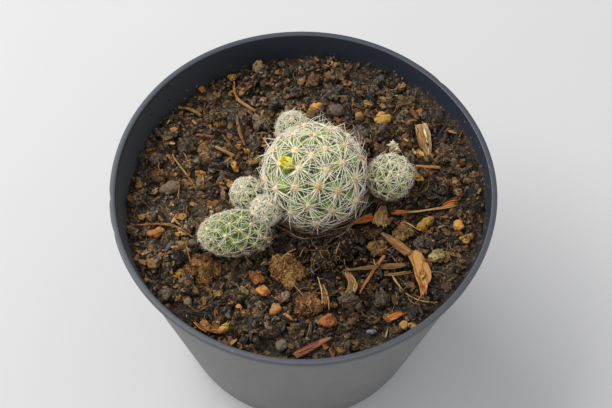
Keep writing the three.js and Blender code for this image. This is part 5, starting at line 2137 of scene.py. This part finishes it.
def build_camera(settings):
    """The photo's view: from the front, looking down at the pot."""
    pitch, yaw, roll = (math.radians(turn) for turn in (CAMERA_PITCH, CAMERA_YAW, CAMERA_ROLL))
    flat = math.cos(pitch)
    ahead = Vector((math.sin(yaw) * flat, math.cos(yaw) * flat, -math.sin(pitch)))
    level = Vector((math.cos(yaw), -math.sin(yaw), 0))
    upright = level.cross(ahead)
    right = level * math.cos(roll) + upright * math.sin(roll)
    above = upright * math.cos(roll) - level * math.sin(roll)
    data = bpy.data.cameras.new("camera")
    data.lens = settings.lens
    data.sensor_width = SENSOR_WIDTH
    data.clip_start = 0.01
    camera = new_object("camera", data)
    place = Matrix((right, above, -ahead)).transposed().to_4x4()
    place.translation = Vector(CAMERA_PLACE)
    camera.matrix_world = place
    bpy.context.scene.camera = camera


BED = Bed()


# Operators


class CACTUS_OT_pot(bpy.types.Operator):
    """Make the pot and the specks on the inside of its wall"""

    bl_idname = "cactus.pot"
    bl_label = "Pot"

    def execute(self, context):
        settings = context.scene.cactus_pot
        build_pot(settings)
        build_specks(settings)
        return {"FINISHED"}


class CACTUS_OT_stems(bpy.types.Operator):
    """Make the main stem and its offsets"""

    bl_idname = "cactus.stems"
    bl_label = "Stems"

    def execute(self, context):
        material = skin_material(context.scene.cactus_stems)
        for node, stem in STEMS.items():
            build_stem(node, stem, material)
            BED.root_stem(stem)
        return {"FINISHED"}


class CACTUS_OT_wool(bpy.types.Operator):
    """Make the wool of the areoles"""

    bl_idname = "cactus.wool"
    bl_label = "Wool"

    def execute(self, context):
        material = wool_material(context.scene.cactus_stems)
        for node, stem in STEMS.items():
            build_wool(node, stem, material)
        return {"FINISHED"}


class CACTUS_OT_spines(bpy.types.Operator):
    """Make the spines of every stem"""

    bl_idname = "cactus.spines"
    bl_label = "Spines"

    def execute(self, context):
        material = spine_material(context.scene.cactus_stems)
        for node, stem in STEMS.items():
            build_spines(node, stem, material)
        return {"FINISHED"}


class CACTUS_OT_flowers(bpy.types.Operator):
    """Make the flower bud and the dried flower"""

    bl_idname = "cactus.flowers"
    bl_label = "Bud and Dried Flower"

    def execute(self, context):
        build_bud()
        build_dried_flower(BED)
        return {"FINISHED"}


class CACTUS_OT_roots(bpy.types.Operator):
    """Make the roots inside the mix"""

    bl_idname = "cactus.roots"
    bl_label = "Roots"

    def execute(self, context):
        build_roots()
        return {"FINISHED"}


class CACTUS_OT_stones(bpy.types.Operator):
    """Make the stones that lie on the mix"""

    bl_idname = "cactus.stones"
    bl_label = "Stones"

    def execute(self, context):
        build_stones(BED)
        return {"FINISHED"}


class CACTUS_OT_clods(bpy.types.Operator):
    """Make the clods of mix and fibre"""

    bl_idname = "cactus.clods"
    bl_label = "Clods"

    def execute(self, context):
        build_clods(BED)
        build_extra_lumps(BED)
        return {"FINISHED"}


class CACTUS_OT_chips(bpy.types.Operator):
    """Make the chips of bark, wood and husk"""

    bl_idname = "cactus.chips"
    bl_label = "Chips"

    def execute(self, context):
        build_wood(BED, CHIP_COLOURS, "wood_chip", cell=0.17, relief=0.13)
        return {"FINISHED"}


class CACTUS_OT_twigs(bpy.types.Operator):
    """Make the twigs, thin roots and fibre bundles that lie on the mix"""

    bl_idname = "cactus.twigs"
    bl_label = "Twigs"

    def execute(self, context):
        build_wood(BED, TWIG_COLOURS, "twig", cell=0.16, relief=0.1)
        build_bundles(BED)
        return {"FINISHED"}


class CACTUS_OT_mix(bpy.types.Operator):
    """Make the potting mix and everything loose on it"""

    bl_idname = "cactus.mix"
    bl_label = "Potting Mix"

    def execute(self, context):
        settings = context.scene.cactus_mix
        build_mix_surface(settings, BED)
        crumb = bit_material("crumb", 0.92, 1.0, 0.12)
        grain = bit_material("grain", 0.88, 0.5, 0.03)
        look = {"fineness": 3, "planes": 9, "roughness": 0.34, "margin": 3.0}
        build_lumps("loose_lumps", BED, 11, settings.lumps, LUMP_SIZES, crumb, **look)
        look = {"fineness": 2, "planes": 8, "roughness": 0.3, "margin": 1.2}
        build_lumps("crumbs", BED, 13, settings.crumbs, CRUMB_SIZES, crumb, **look)
        look = {"flatness": (0.12, 0.35), "lean": 0.35, "keep": 0.02, "margin": 1.0}
        amount = settings.flakes
        build_grains("bark_flakes", BED, 17, amount, FLAKE_SIZES, FLAKE_COLOURS, grain, **look)
        build_husks(settings, BED)
        look = {"flatness": (0.4, 1.0), "lean": 0.8, "keep": 0.04, "margin": 0.3}
        amount = settings.grains
        build_grains("fine_grains", BED, 19, amount, GRAIN_SIZES, GRAIN_COLOURS, grain, **look)
        build_fibres(settings, BED)
        return {"FINISHED"}


class CACTUS_OT_stage(bpy.types.Operator):
    """Make the floor, the lights and the camera"""

    bl_idname = "cactus.stage"
    bl_label = "Floor, Lights and Camera"

    def execute(self, context):
        settings = context.scene.cactus_stage
        build_floor(settings)
        build_lights(settings)
        build_camera(settings)
        context.scene.view_settings.view_transform = "Standard"
        return {"FINISHED"}


class CACTUS_PT_panel(bpy.types.Panel):
    """Lists the steps in the order that they are made"""

    bl_label = "Potted Cactus"
    bl_idname = "CACTUS_PT_panel"
    bl_space_type = "VIEW_3D"
    bl_region_type = "UI"
    bl_category = "Cactus"

    def draw(self, context):
        for operator in OPERATORS:
            self.layout.operator(operator.bl_idname)
        for key in SETTINGS:
            group = getattr(context.scene, key)
            box = self.layout.box()
            for name in group.bl_rna.properties.keys():
                if name not in ("rna_type", "name"):
                    box.prop(group, name)


OPERATORS = [
    CACTUS_OT_stage,
    CACTUS_OT_pot,
    CACTUS_OT_stems,
    CACTUS_OT_wool,
    CACTUS_OT_spines,
    CACTUS_OT_flowers,
    CACTUS_OT_roots,
    CACTUS_OT_stones,
    CACTUS_OT_clods,
    CACTUS_OT_chips,
    CACTUS_OT_twigs,
    CACTUS_OT_mix,
]
SETTINGS = {
    "cactus_pot": CactusPotSettings,
    "cactus_mix": CactusMixSettings,
    "cactus_stems": CactusStemSettings,
    "cactus_stage": CactusStageSettings,
}


def register():
    for settings in SETTINGS.values():
        bpy.utils.register_class(settings)
    for key, settings in SETTINGS.items():
        setattr(bpy.types.Scene, key, PointerProperty(type=settings))
    for operator in OPERATORS:
        bpy.utils.register_class(operator)
    bpy.utils.register_class(CACTUS_PT_panel)


def unregister():
    bpy.utils.unregister_class(CACTUS_PT_panel)
    for operator in reversed(OPERATORS):
        bpy.utils.unregister_class(operator)
    for key in SETTINGS:
        delattr(bpy.types.Scene, key)
    for settings in SETTINGS.values():
        bpy.utils.unregister_class(settings)


def main():
    register()
    bpy.ops.cactus.stage()
    bpy.ops.cactus.pot()
    bpy.ops.cactus.stems()
    bpy.ops.cactus.wool()
    bpy.ops.cactus.spines()
    bpy.ops.cactus.flowers()
    bpy.ops.cactus.roots()
    bpy.ops.cactus.stones()
    bpy.ops.cactus.clods()
    bpy.ops.cactus.chips()
    bpy.ops.cactus.twigs()
    bpy.ops.cactus.mix()


if __name__ == "__main__":
    main()
